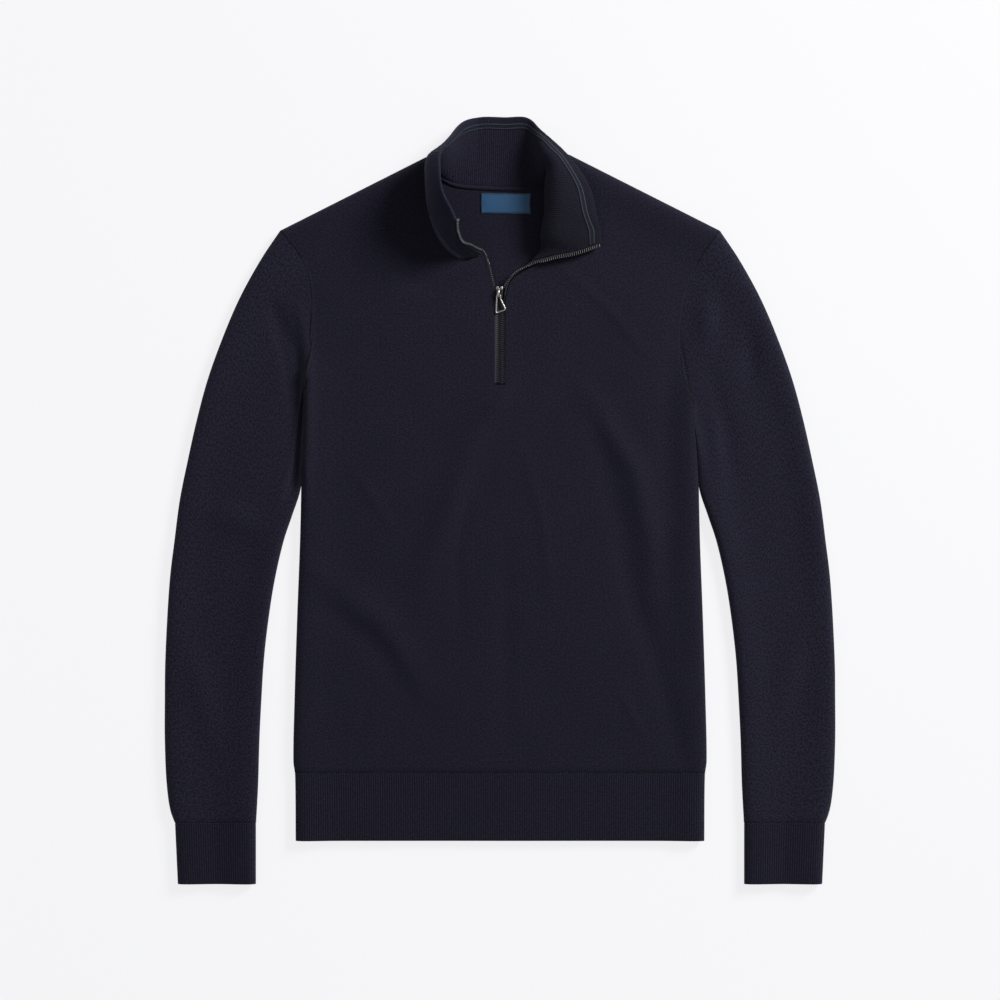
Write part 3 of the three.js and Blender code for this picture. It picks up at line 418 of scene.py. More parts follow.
def body_sheet(rows, columns, upper, deep):
    """One face of the front or back panel: its outside, or its inside when deep."""
    right, left, lift, arm = (rows[name][:, None] for name in ("right", "left", "lift", "arm"))
    share = columns[None, :]

    def edge_at(side, up):
        at_arm = smooth_out(ARMHOLES[side], up) - ARMHOLE_GAP / 2
        return np.where(arm, at_arm, smooth_out(SIDE_SEAM, up))

    def inward(distance):
        return CLOTH * np.maximum(0, 1 - distance / EDGE_RADIUS) if deep else np.zeros(np.shape(distance))

    end_right, end_left = -edge_at("right", right), edge_at("left", left)
    outer_x = end_right + (end_left - end_right) * share
    tops = shoulder_top(end_right), shoulder_top(end_left)
    outer_y = (right + (left - right) * share
               + lift * (shoulder_top(outer_x) - tops[0] - (tops[1] - tops[0]) * share))
    from_shoulder = np.where(lift > 0.5, (shoulder_top(outer_x) - outer_y) * SHOULDER_COSINE, 1e6)
    lowered = inward(from_shoulder)
    x_right = -edge_at("right", right - lowered)
    x_left = edge_at("left", left - lowered)
    x = x_right + (x_left - x_right) * share
    y = outer_y - lowered
    near_arm = np.minimum(
        np.hypot(x + ARMHOLES["right"][0][1], y - ARMHOLES["right"][0][0]),
        np.hypot(x - ARMHOLES["left"][0][1], y - ARMHOLES["left"][0][0]),
    )
    sides = np.where(arm, near_arm, np.minimum(x - x_right, x_left - x))
    inside = np.minimum(sides, from_shoulder)
    steep = swell_between(y, STEEP_SIDE) * (x < 0)
    flatness = rounding(sides, EDGE_RADIUS - STEEPER_SIDE * steep) * rounding(from_shoulder, EDGE_RADIUS)
    edge = MID + (1 if upper else -1) * SEAM_GAP / 2
    if upper:
        dip = SEAM_DIP * (1 - smoothstep(y - HEM_SEAM, 0, 3.6))
        flat = top_at(x, y, inside) - dip - (CLOTH if deep else 0)
    else:
        flat = np.full(x.shape, CLOTH if deep else 0.0)
    x = x - np.sign(x) * inward(sides)
    points = np.stack([x, y, edge + (flat - edge) * flatness], axis=2)
    sheet = Sheet(points, np.linspace(0, 1, len(points)), columns)
    sheet.knit = points[..., :2]
    return sheet


def cut_through(piece, outline):
    """Cuts an upright hole of a plan outline through a piece."""
    n = len(outline)
    if sum(a[0] * b[1] - b[0] * a[1] for a, b in zip(outline, outline[1:] + outline[:1])) < 0:
        outline = outline[::-1]
    low = [(x * MM, y * MM, -0.1) for x, y in outline]
    high = [(x * MM, y * MM, 0.1) for x, y in outline]
    mesh = bpy.data.meshes.new("cutter")
    sides = [[i, (i + 1) % n, n + (i + 1) % n, n + i] for i in range(n)]
    mesh.from_pydata(low + high, [], [list(range(n))[::-1], list(range(n, 2 * n))] + sides)
    cutter = bpy.data.objects.new("cutter", mesh)
    bpy.context.scene.collection.objects.link(cutter)
    hole = piece.modifiers.new("hole", "BOOLEAN")
    hole.operation = "DIFFERENCE"
    hole.object = cutter
    hole.solver = "EXACT"
    cut = bpy.data.meshes.new_from_object(piece.evaluated_get(bpy.context.evaluated_depsgraph_get()))
    piece.modifiers.clear()
    old = piece.data
    piece.data = cut
    bpy.data.meshes.remove(old)
    bpy.data.objects.remove(cutter)
    bpy.data.meshes.remove(mesh)
    map_in_plan(cut)
    cut.shade_smooth()
    cut.set_sharp_from_angle(angle=math.radians(SHARP_ANGLE))


def map_in_plan(mesh):
    """Knit map of a flat panel: its own plan."""
    layer = mesh.uv_layers.get("knit") or mesh.uv_layers.new(name="knit")
    places = np.empty(len(mesh.vertices) * 3, np.float32)
    mesh.vertices.foreach_get("co", places)
    corners = np.empty(len(mesh.loops), np.int32)
    mesh.loops.foreach_get("vertex_index", corners)
    layer.uv.foreach_set("vector", places.reshape(-1, 3)[corners, :2].ravel())


def smooth_outline(points, per_step=6):
    """A smooth outline through its points."""
    steps = np.linspace(0, 1, per_step * (len(points) - 1) + 1)
    return [tuple(place) for place in smooth_through(points, steps)]


def body_panel(name, upper, low_rows, columns, arm_steps, outline, material):
    """The front or back panel: a hollow skin, finer outside, with the neck's hole cut through."""
    rows = body_rows(low_rows, shares(ARM_OPENING, *arm_steps))
    coarse = body_rows(low_rows // 3, shares(ARM_OPENING, 3, 10))
    outer = body_sheet(rows, columns, upper, False)
    inner = body_sheet(coarse, columns[::2] if len(columns) % 2 else columns, upper, True)
    piece = make_object(name, *turned_out(*closed_skin(outer, inner)), material)
    cut_through(piece, outline)
    return piece


# Sleeves and bands

def tube_height(x, y, width, share, upper, depth, drop=0.0, tuck=0.0):
    """Height of a flat tube. A tuck stands its inner edge up and makes it turn tightly."""
    inner = width - 2 * depth
    nearest = np.minimum(share, 1 - share)
    flatness = rounding(nearest * inner, EDGE_RADIUS - depth - TUCK_TIGHT * tuck)
    top = np.maximum(top_at(x, y, nearest * width) - drop, LOWEST_TOP)
    flat = np.where(upper, top - depth, depth)
    mid = MID + TUCK_RISE * tuck
    return mid + (flat - mid) * flatness


def ring_columns(upper_shares, lower_shares):
    """Shares, layers and marks of the columns round a flat tube."""
    share = np.concatenate([upper_shares, lower_shares])
    upper = np.concatenate([np.ones(len(upper_shares), bool), np.zeros(len(lower_shares), bool)])
    marks = np.where(upper, share / 2, 1 - share / 2)
    return share, upper, marks


def sleeve_sheet(side, stations, upper_shares, lower_shares, depth):
    """One face of a sleeve, from the armhole to the cuff, a given depth inside the cloth."""
    armhole = ARMHOLES[side]
    gap = ARMHOLE_GAP / 2
    under = (armhole[0][1] + gap, armhole[0][0])
    lines = SLEEVE_OUTER, [under, UNDERARM, *SLEEVE_INNER]
    a, b = (by_length(line, stations)[:, None, :] for line in lines)
    share, upper, marks = ring_columns(upper_shares, lower_shares)
    lift = stations[:, None] * SEAM_GAP / 2
    a[..., 1] += lift
    b[..., 1] += lift
    width = np.linalg.norm(b - a, axis=2)
    along = (depth + share[None, :] * (width - 2 * depth)) / width
    plan = a + (b - a) * along[..., None]
    start_a, start_b = a[0, 0], b[0, 0]
    first = start_a + (start_b - start_a) * along[..., None]
    bulge = smooth_out(armhole, first[..., 1]) + gap - first[..., 0]
    x = SIDES[side] * (plan[..., 0] + bulge * np.maximum(0, 1 - stations[:, None] / 0.35) ** 2)
    y = plan[..., 1]
    beside_body = swell_between(y, BESIDE_BODY)
    fall, away, reach = SLEEVE_DROP[side]
    drop = fall * beside_body * np.exp(-((((1 - share) * width - away) / reach) ** 2))
    tuck = beside_body * (share > 0.5) if side == "right" else 0
    z = tube_height(x, y, width, share[None, :], upper[None, :], depth, drop, tuck)
    z = z - np.where(upper, SEAM_DIP * smoothstep(stations, 0.992, 1)[:, None], 0)
    return Sheet(np.stack([x, y, z], axis=2), stations, marks, ring=True)


def sleeve(side, material):
    """A sleeve's tube, finer outside than inside."""
    sheets = []
    for rows, upper, lower, depth in ((150, (8, 90), (5, 14), 0), (40, (3, 20), (3, 8), CLOTH)):
        under = shares(ARM_OPENING, *lower)[1:-1][::-1]
        sheets.append(sleeve_sheet(side, np.linspace(0, 1, rows), shares(ARM_OPENING, *upper), under, depth))
    return make_object(f"sleeve_{side}_knit", *turned_out(*closed_skin(*sheets)), material)


def rib_wave(turns):
    """Height share of a rib: rounded tops and narrow valleys."""
    return np.abs(np.sin(np.pi * turns)) ** 0.8


def band_sheet(edges, top, bottom, upper_shares, lower_shares, rows, depth, ribs):
    """One face of a cuff or of the hem, with ribs on its upper layer."""
    share, upper, marks = ring_columns(upper_shares, lower_shares)
    v = np.asarray(rows)[:, None]
    y = top + (bottom - top) * v
    low, high = edges(y)
    width = high - low
    x = low + depth + share[None, :] * (width - 2 * depth)
    y = np.broadcast_to(y, x.shape)
    z = tube_height(x, y, width, share[None, :], upper[None, :], depth)
    if ribs:
        soft = rounding(np.minimum(share, 1 - share)[None, :] * width, EDGE_RADIUS)
        ends = 1 - 0.6 * smoothstep(v, 0.97, 1)
        edge_roll = 0.9 * smoothstep(v, 0.975, 1) ** 2
        z = z + np.where(upper, RIB_HEIGHT * rib_wave(share * ribs) * soft * ends - edge_roll, 0)
    return Sheet(np.stack([x, y, z], axis=2), rows, marks, ring=True)


def ribbed_band(name, edges, top, bottom, plain, material):
    """A cuff or the hem: a hollow tube, ribbed outside and plain inside."""
    low, high = edges(np.array(top))
    ribs = round(float(high - low) / RIB_PITCH)
    fine = np.linspace(0, 1, 6 * ribs + 1)
    rows = np.concatenate([[0, 0.012, 0.03, 0.06], np.linspace(0.1, 0.95, 12), [0.975, 0.988, 0.996, 1]])
    under = plain[1:-1][::-1]
    outer = band_sheet(edges, top, bottom, fine, under, rows, 0, ribs)
    inner = band_sheet(edges, top, bottom, plain, under, np.array([0, 0.5, 1.0]), CLOTH, 0)
    return make_object(name, *turned_out(*closed_skin(outer, inner)), material)


def hem_edges(y):
    """The hem's two side edges at a height."""
    out = smooth_out(SIDE_SEAM, y)
    return -out, out


def cuff_edges(sign):
    """A function for the two side edges of a cuff at a height."""
    def edges(y):
        t = (CUFF_SEAM - y) / (CUFF_SEAM - CUFF_BOTTOM)
        outer = CUFF_OUTER[0] + (CUFF_OUTER[1] - CUFF_OUTER[0]) * t
        inner = np.full(np.shape(y), CUFF_INNER)
        return (inner, outer) if sign > 0 else (-outer, -inner)
    return edges


# Collar

def collar_mid(u, w):
    """Middle of the collar at stations u (along) and w (up): an array of u by w by 3."""
    lines = np.array([smooth_through([row[i] for row in COLLAR], u) for i in range(4)])
    return np.moveaxis(smooth_through(lines, w), 0, 1)


def collar_frame(u, w):
    """Places on the collar's middle, the way along it, and the way to its inside."""
    u = np.asarray(u, float)
    w = np.asarray(w, float)
    point = collar_mid(u, w)
    along = collar_mid(np.minimum(u + 0.004, 1), w) - collar_mid(np.maximum(u - 0.004, 0), w)
    upward = collar_mid(u, np.minimum(w + 0.02, 1)) - collar_mid(u, np.maximum(w - 0.02, 0))
    along = unit(along)
    return point, along, unit(np.cross(along, unit(upward)))


def even_stations(count):
    """Stations a fixed distance apart along the collar, and the collar's length."""
    fine = np.linspace(0, 1, 1600)
    mid = collar_mid(fine, np.array([0.5]))[:, 0]
    lengths = np.concatenate([[0], np.cumsum(np.linalg.norm(np.diff(mid, axis=0), axis=1))])
    return np.interp(np.linspace(0, lengths[-1], count), lengths, fine), lengths[-1]


def collar_sheet(stations, w, off, facing):
    """One face of the collar, off its middle, and no lower than the cloth it lies on."""
    point, _, inside = collar_frame(stations, w)
    places = point + inside * (facing * off)[..., None]
    floor = COLLAR_HALF + off if facing > 0 else 0 * off
    places[..., 2] = np.maximum(places[..., 2], floor)
    return np.moveaxis(places, 0, 1)


def collar(material):
    """The ribbed collar, with a rounded top edge and a thinner seam edge."""
    _, length = even_stations(8)
    ribs = round(length / COLLAR_PITCH)
    stations, _ = even_stations(6 * ribs + 1)
    turns = np.linspace(0, ribs, 6 * ribs + 1)
    w = np.concatenate([[0, 0.02, 0.05], np.linspace(0.1, 0.94, 18), [0.965, 0.982, 0.993, 1]])
    fold = np.sqrt(np.clip(1 - (np.maximum(w - 0.965, 0) / 0.037) ** 2, 0.02, 1))
    seam = 0.55 + 0.45 * smoothstep(w, 0, 0.05)
    rib = rib_wave(turns)[:, None] * (smoothstep(w, 0.01, 0.06) * (1 - 0.7 * smoothstep(w, 0.97, 1)))[None, :]
    off = COLLAR_HALF * (fold * seam)[None, :] + COLLAR_RIB * rib
    columns = np.linspace(0, 1, len(stations))
    sheets = [Sheet(collar_sheet(stations, w, off, facing), w, columns) for facing in (1, -1)]
    return make_object("collar_rib", *turned_out(*closed_skin(*sheets)), material)


def below_top(u, distance):
    """Shares up the collar of places at distances below its top edge, for each station."""
    high, top = (smooth_through([row[i] for row in COLLAR], u) for i in (2, 3))
    return 1 - np.atleast_2d(distance) / 3 / np.linalg.norm(top - high, axis=1, keepdims=True)


def collar_binding(material):
    """Tape with a cord along either edge, on the collar's inside just under its top edge."""
    stations, _ = even_stations(260)
    stations = 0.006 + 0.988 * stations
    lower = BINDING_DIP * swell_between(stations, (0.70, 0.79, 0.84, 0.94))
    heights = below_top(stations, np.linspace(*BINDING_LINES, 9) + lower[:, None])
    swell = 0.3 * np.array([0, 1, 0.5, 0, 0, 0, 0.5, 1, 0])
    low = COLLAR_HALF + COLLAR_RIB + 0.05
    marks = np.linspace(0, 1, 9), np.linspace(0, 1, len(stations))
    sheets = []
    for off in (low + 0.55 + swell, np.full(9, low)):
        columns = [collar_sheet([u], w, off[None, :], 1)[:, 0] for u, w in zip(stations, heights)]
        sheets.append(Sheet(np.stack(columns, axis=1), *marks))
    return make_object("collar_binding_tape", *turned_out(*closed_skin(*sheets)), material)


# Label and zip

def neck_label(material):
    """A folded satin label with a slight wave, thicker at its two ends."""
    columns = np.linspace(0, 1, 61)
    rows = np.linspace(0, 1, 25)
    share, rise = np.meshgrid(columns, rows)
    width, height = LABEL["right"] - LABEL["left"], LABEL["high"] - LABEL["low"]
    x = LABEL["left"] + width * share + 0.3 * np.sin(7 * rise + 1)
    y = LABEL["low"] + height * rise + 0.3 * np.sin(5 * share + 1) + 0.15 * np.sin(17 * share)
    base = CLOTH + SEAM_GAP
    ends = np.minimum(share, 1 - share)
    lift = 0.5 * np.sin(np.pi * rise) * smoothstep(ends, 0, 0.12) * (1 + 0.4 * np.sin(7 * share))
    edge = np.minimum(ends * width, np.minimum(rise, 1 - rise) * height)
    thick = 0.2 + 0.35 * np.exp(-((ends * width / 1.6) ** 2)) + 0.25 * rounding(edge, 0.8)
    low = Sheet(np.stack([x, y, base + lift * 0.6], axis=2), rows, columns)
    high = Sheet(np.stack([x, y, base + lift * 0.6 + thick], axis=2), rows, columns)
    return make_object("label_satin", *turned_out(*closed_skin(high, low)), material)


def zip_level(y):
    """Height of the zip's middle in the slot."""
    inside = np.full(np.shape(y), 100.0)
    return top_at(np.zeros(np.shape(y)), np.asarray(y, float), inside) - CLOTH / 2 - ZIP_DROP


SLOT_LEVELS = np.array([SLOT_BOTTOM + 1.4, 140, 162, 184, 204])
END_ROWS = np.array([0.02, 0.18, 0.36, 0.56, 0.78, 0.98])


def slot_frames(sign):
    """Place, way out and facing along one side of the slot."""
    at = np.stack([np.full(5, sign * SLOT_HALF), SLOT_LEVELS, zip_level(SLOT_LEVELS)], axis=1)
    return at, np.tile([-sign, 0.0, 0.0], (5, 1)), np.tile([0.0, 0.0, 1.0], (5, 1))


def edge_way(u):
    """The way up the end of the collar, at each of its rows."""
    rise = collar_mid([u], np.minimum(END_ROWS + 0.1, 1)) - collar_mid([u], np.maximum(END_ROWS - 0.1, 0))
    return unit(rise[0])


def right_zip_frames():
    """Place, way out and facing along the right edge of the zip, up the standing end of the collar."""
    start = slot_frames(-1)
    at = np.array([[-7.2, 217, 6.8], [-10, 229, 7.2], [-13.4, 242.4, 7.6]])
    out = unit(np.array([[1, 0.15, 0], [1, 0.25, 0], [1, 0.35, 0]]))
    face = np.tile([0.0, 0.0, 1.0], (3, 1))
    point, along, inside = (part[0] for part in collar_frame([0.0], END_ROWS))
    end_out = unit(np.cross(inside, edge_way(0.0)))
    end_out = np.where(np.sum(end_out * along, axis=1, keepdims=True) > 0, -end_out, end_out)
    parts = (start, (at, out, face), (point + 0.15 * end_out, end_out, -inside))
    return [np.concatenate(group) for group in zip(*parts)]


def left_zip_frames():
    """The same along the left edge, which turns over and then runs under the open flap."""
    start = slot_frames(1)
    at = np.array([place for place, _ in TURNED_EDGE], float)
    angle = np.radians([turn for _, turn in TURNED_EDGE])[:, None]
    i = np.arange(len(at))
    path = (at[np.minimum(i + 1, len(at) - 1)] - at[np.maximum(i - 1, 0)]) * [1, 1, 0]
    path = unit(path)
    flat = np.stack([-path[:, 1], path[:, 0], np.zeros(len(at))], axis=1)
    out = flat * np.cos(angle) + np.array([0, 0, 1]) * np.sin(angle)
    face = np.cross(path, out)
    point, along, _ = (part[0] for part in collar_frame([1.0], END_ROWS))
    rest = ((1 - END_ROWS) ** 3)[:, None]
    end_out = unit(np.concatenate([0.15 + 0.2 * rest, np.full(rest.shape, -0.97), 0.6 * rest], axis=1))
    end_face = unit(np.cross(edge_way(1.0), end_out))
    parts = (start, (at, out, face), (point + along * 0.6 * rest, end_out, end_face))
    return [np.concatenate(group) for group in zip(*parts)]


class ZipEdge:
    """One edge of the zip, as smooth frames at distances along it."""

    def __init__(self, frames):
        places, outs, faces = frames
        self.t = np.linspace(0, 1, 1200)
        line = smooth_through(places, self.t)
        self.distance = np.concatenate([[0], np.cumsum(np.linalg.norm(np.diff(line, axis=0), axis=1))])
        self.length = self.distance[-1]
        self.line = line
        self.outs = unit(smooth_through(outs, self.t))
        self.faces = unit(smooth_through(faces, self.t))

    def at(self, distance):
        def read(table):
            return np.stack([np.interp(distance, self.distance, table[:, i]) for i in range(3)], axis=-1)
        out = unit(read(self.outs))
        face = read(self.faces)
        face = unit(face - out * np.sum(face * out, axis=-1, keepdims=True))
        return read(self.line), out, face

    def distance_at_height(self, y):
        return float(self.distance[np.argmax(self.line[:, 1] >= y)])


def zip_tape(side, edge, material):
    """Woven tape from the cloth's edge to the teeth, which clasp it; in the slot it rises to the cloth."""
    distance = np.linspace(0, edge.length, round(edge.length / 1.2))
    at, out, face = edge.at(distance)
    across = np.linspace(0, 1, 15)
    closed = 1 - smoothstep(distance, SLOT_TOP - SLOT_BOTTOM - 8, SLOT_TOP - SLOT_BOTTOM)[:, None]
    away = 0.15 + (1.6 + (SLOT_HALF - 1.9) * closed) * across[None, :]
    lift = 1.15 * closed * (1 - smoothstep(away, 0.2, 2.4))
    swell = TAPE / 2 * np.where((across > 0.06) & (across < 0.94), 1.0, 0.7)
    sheets = []
    for sign in (1, -1):
        height = lift + sign * swell[None, :]
        points = at[:, None] + out[:, None] * away[..., None] + face[:, None] * height[..., None]
        sheets.append(Sheet(points, np.linspace(0, 1, len(distance)), across))
    return make_object(f"zip_tape_{side}_woven", *turned_out(*closed_skin(*sheets)), material)


def joined_blocks(name, blocks, material):
    """Small blocks, each with its points and faces, joined in one mesh."""
    points = []
    faces = []
    for block_points, block_faces in blocks:
        start = len(points)
        points += list(block_points)
        faces += [[start + i for i in face] for face in block_faces]
    return make_object(name, np.array(points), faces, None, material, sharp=40)


def ring_faces(rings, corners, closed=False):
    """Faces of a bar made of rings of points, with a cap at both ends unless it closes on itself."""
    faces = [[r * corners + k, r * corners + (k + 1) % corners,
              (r + 1) % rings * corners + (k + 1) % corners, (r + 1) % rings * corners + k]
             for r in range(rings if closed else rings - 1) for k in range(corners)]
    if not closed:
        faces.append([corners - 1 - k for k in range(corners)])
        faces.append([(rings - 1) * corners + k for k in range(corners)])
    return faces


def tooth(at, out, face, along, reach):
    """One metal tooth: a bar that clasps the tape, with a narrower head."""
    sections = [(0, 0.3, 0.75), (0.1, 0.38, 1.05), (0.62, 0.38, 1.2), (0.8, 0.52, 1.15), (1, 0.38, 0.8)]
    points = []
    for away, half_long, half_high in sections:
        centre = at + out * away * reach
        for k in range(8):
            angle = 2 * math.pi * (k + 0.5) / 8
            c, s = math.cos(angle), math.sin(angle)
            stretch = 1 / max(abs(c), abs(s)) ** 0.6
            points.append(centre + along * half_long * c * stretch + face * half_high * s * stretch)
    return points, ring_faces(len(sections), 8)


def teeth_along(edge, start, stop, roots, reaches):
    """Teeth from one distance along a zip edge to another. Roots and reaches change evenly along it."""
    blocks = []
    for distance in np.arange(start, stop, TEETH_PITCH):
        share = (distance - start) / (stop - start)
        root, reach = (np.interp(share, np.linspace(0, 1, len(row)), row) for row in (roots, reaches))
        at, out, face = edge.at(distance)
        blocks.append(tooth(at + out * root, out, face, np.cross(out, face), reach))
    return blocks


def top_stop(edge):
    """The small clasp that ends a row of teeth."""
    at, out, face = edge.at(edge.length - 0.6)
    return tooth(at + out * 0.9, out, face * 1.25, 1.6 * np.cross(out, face), 3.4)


def zip_teeth(side, edge, material):
    """The open teeth of one side, from the slider to the top stop."""
    start = edge.distance_at_height(SLIDER["y"] + (7 if side == "right" else 4))
    roots = (1.4, 1.5, 1.3, 1.3) if side == "right" else (3.0, *(1.0,) * 11)
    reaches = (1.3, 1.4, 2.2, 2.2) if side == "right" else (1.4, 2.0, 3.2, 3.9, 3.9, 3.9, 3.0)
    blocks = teeth_along(edge, start, edge.length - 2.4, roots, reaches)
    return joined_blocks(f"zip_teeth_{side}_metal", [*blocks, top_stop(edge)], material)


def zip_chain(edges, material):
    """The closed teeth, alternating from either side, down to the bottom of the slot."""
    blocks = []
    for side, edge in edges.items():
        stop = edge.distance_at_height(SLIDER["y"] - SLIDER["length"] / 2 - 0.5)
        start = 1.0 if side == "right" else 1.0 + TEETH_PITCH / 2
        blocks += teeth_along(edge, start, stop, (1.5,), (4.8,))
    return joined_blocks("zip_chain_metal", blocks, material)


def rounded_slab(outline, bottom, top, bevel):
    """A slab over an outline, with rounded upper and lower edges."""
    centre = outline.mean(axis=0)
    levels = [(bottom, bevel), (bottom + bevel * 0.3, bevel * 0.3), (bottom + bevel, 0),
              (top - bevel, 0), (top - bevel * 0.3, bevel * 0.3), (top, bevel)]
    points = []
    for z, inset in levels:
        away = outline - centre
        reach = np.linalg.norm(away, axis=1, keepdims=True)
        ring = centre + away * (1 - inset / reach)
        points += [(x, y, z) for x, y in ring]
    return points, ring_faces(len(levels), len(outline))


def swept(path, side_way, half_wide, half_thick, closed=False):
    """A bar with an oval section along a path."""
    corners = 16
    if closed:
        forward = unit(np.roll(path, -1, axis=0) - np.roll(path, 1, axis=0))
    else:
        forward = unit(np.gradient(path, axis=0))
    side = unit(np.cross(np.cross(forward, side_way), forward))
    up = np.cross(side, forward)
    angles = 2 * np.pi * np.arange(corners) / corners
    ring = (side[:, None] * (half_wide * np.cos(angles))[None, :, None]
            + up[:, None] * (half_thick * np.sin(angles))[None, :, None])
    points = (path[:, None] + ring).reshape(-1, 3)
    return points, ring_faces(len(path), corners, closed)


PLATE_OUTLINE = [(-2.6, -6.2), (0, -6.4), (2.6, -6.2), (3.2, -4.4), (3.6, -1.5), (3.75, 1.5), (3.65, 3.6),
                 (3.3, 5.6), (2.4, 6.3), (1.4, 6.0), (0.7, 5.0), (0, 4.5), (-0.7, 5.0), (-1.4, 6.0),
                 (-2.4, 6.3), (-3.3, 5.6), (-3.65, 3.6), (-3.75, 1.5), (-3.6, -1.5), (-3.2, -4.4)]


def slider_levels():
    """Heights of the slider's underside and of its upper plate."""
    bottom = float(zip_level(SLIDER["y"])) - SLIDER["below"]
    return bottom, bottom + SLIDER["high"]


def zip_slider(material):
    """Two shield-shaped plates round the teeth, and an arched bridge for the pull."""
    bottom, top = slider_levels()
    ring = smooth_through(PLATE_OUTLINE + PLATE_OUTLINE[:1], np.linspace(0, 1, 81)[:-1])
    outline = ring + [SLIDER["x"], SLIDER["y"]]
    core = (outline - outline.mean(axis=0)) * 0.86 + outline.mean(axis=0)
    blocks = [
        rounded_slab(outline, top - SLIDER["plate"], top, bevel=0.5),
        rounded_slab(outline, bottom, bottom + SLIDER["plate"], bevel=0.5),
        rounded_slab(core, bottom + 1.2, top - 1.2, bevel=0.1),
    ]
    t = np.linspace(0, 1, 41)
    middle, half = (BRIDGE["high"] + BRIDGE["low"]) / 2, (BRIDGE["high"] - BRIDGE["low"]) / 2
    y = SLIDER["y"] + middle - half * np.cos(np.pi * t)
    z = top - 0.4 + 4.0 * np.sin(np.pi * t) ** 0.5
    bridge = np.stack([np.full(41, BRIDGE["x"]), y, z], axis=1)
    blocks.append(swept(bridge, [1, 0, 0], BRIDGE["half"], 0.5))
    return joined_blocks("zip_slider_metal", blocks, material)


def zip_pull(material):
    """The pull: a ring of round wire, bent to a long loop."""
    _, top = slider_levels()
    far = float(zip_level(PULL_END)) + TEETH_HALF + 0.7 + WIRE
    axis_y, axis_z = SLIDER["y"] - 2.9, top + 1.4
    neck = axis_z + (far - axis_z) * 0.3
    corners = np.array([(-3.3, axis_y, axis_z), (0.5, axis_y, axis_z), (0.7, axis_y - 4.2, neck),
                        (5.9, axis_y - 14.8, far), (-3.9, axis_y - 18.4, far), (-3.3, axis_y - 4.2, neck)])
    count = len(corners)
    path = []
    for i in range(count):
        corner = corners[i]
        before = unit(corners[i - 1] - corner)
        after = unit(corners[(i + 1) % count] - corner)
        radius = 2.0 if i in (3, 4) else 1.2
        t = np.linspace(0, 1, 12)[:, None]
        path.append((1 - t) ** 2 * (corner + before * radius) + 2 * t * (1 - t) * corner
                    + t**2 * (corner + after * radius))
        start, end = corner + after * radius, corners[(i + 1) % count]
        reach = np.linalg.norm(end - start)
        path.append(start + after * np.linspace(0.1, 0.85, 12)[:, None] * reach)
    wire = swept(np.concatenate(path), [0, 0.1, 1], WIRE, WIRE, closed=True)
    return joined_blocks("zip_pull_wire", [wire], material)


# Sewing

def surface_of(piece):
    """Height of a piece's surface over a place, from a ray straight down."""
    tree = BVHTree.FromObject(piece, bpy.context.evaluated_depsgraph_get())

    def height(x, y):
        hit = tree.ray_cast(Vector((x * MM, y * MM, 0.2)), Vector((0, 0, -1)))[0]
        return None if hit is None else hit.z / MM
    return height


def stitch(centre, forward, up, length, half_wide, half_high):
    """One thread stitch: a short rounded grain."""
    side = np.cross(up, forward)
    points = []
    for share, scale in ((-1, 0.35), (-0.6, 0.9), (0, 1), (0.6, 0.9), (1, 0.35)):
        for k in range(6):
            angle = math.pi * k / 3
            points.append(centre + forward * (share * length / 2)
                          + side * (half_wide * scale * math.cos(angle))
                          + up * (half_high * scale * math.sin(angle)))
    return points, ring_faces(5, 6)


def evenly(line, pitch):
    """Points a fixed distance apart along a plan line, with the way forward at each."""
    fine = smooth_through(line, np.linspace(0, 1, 60 * len(line)))
    lengths = np.concatenate([[0], np.cumsum(np.linalg.norm(np.diff(fine, axis=0), axis=1))])
    at = np.arange(pitch / 2, lengths[-1], pitch)
    places = np.column_stack([np.interp(at, lengths, fine[:, i]) for i in range(2)])
    ahead = np.column_stack([np.interp(at + pitch / 2, lengths, fine[:, i]) for i in range(2)])
    return places, unit(ahead - places + 1e-9)


def chain_seam(line, height, pitch, width, raised):
    """A linked seam: two rows of slanting stitches that meet in the middle of a line."""
    blocks = []
    up = np.array([0.0, 0.0, 1.0])
    for (x, y), (dx, dy) in zip(*evenly(line, pitch)):
        for side in (-1, 1):
            px, py = x - dy * side * width / 2, y + dx * side * width / 2
            forward = unit(np.array([dx - dy * side * 0.45, dy + dx * side * 0.45, 0.0]))
            level = height(px, py)
            if level is not None and level > MID:
                centre = np.array([px, py, level + raised])
                blocks.append(stitch(centre, forward, up, pitch * 1.15, width * 0.42, width * 0.34))
    return blocks


def raised_band(name, path, half_wide, half_thick, material):
    """A soft band of cloth along a path, rounded across."""
    path = np.array(path, float)
    count = round(np.linalg.norm(np.diff(path, axis=0), axis=1).sum())
    line = by_length(path, np.linspace(0, 1, count))
    forward = unit(np.gradient(line, axis=0))
    side = unit(np.cross([0, 0, 1], forward))
    across = np.linspace(-1, 1, 13)
    dome = np.sqrt(np.clip(1 - across**2, 0.02, 1)) * half_thick
    end = np.minimum(1, np.minimum(np.arange(count), np.arange(count)[::-1]) / 3 + 0.2)
    sheets = []
    for sign in (1, -1):
        points = line[:, None] + side[:, None] * (across * half_wide)[None, :, None]
        points[..., 2] += sign * dome[None, :] * end[:, None]
        sheets.append(Sheet(points, np.linspace(0, 1, count), across))
    return make_object(name, *turned_out(*closed_skin(*sheets)), material)


NECK_SEAM = [(-63, 333.5, 4.6), (-56, 328.5, 3.6), (-45, 323.6, 3.2), (-25, 321.3, 3.1), (8, 319.9, 3.1),
             (34, 320.9, 3.1), (50, 325.2, 3.6)]


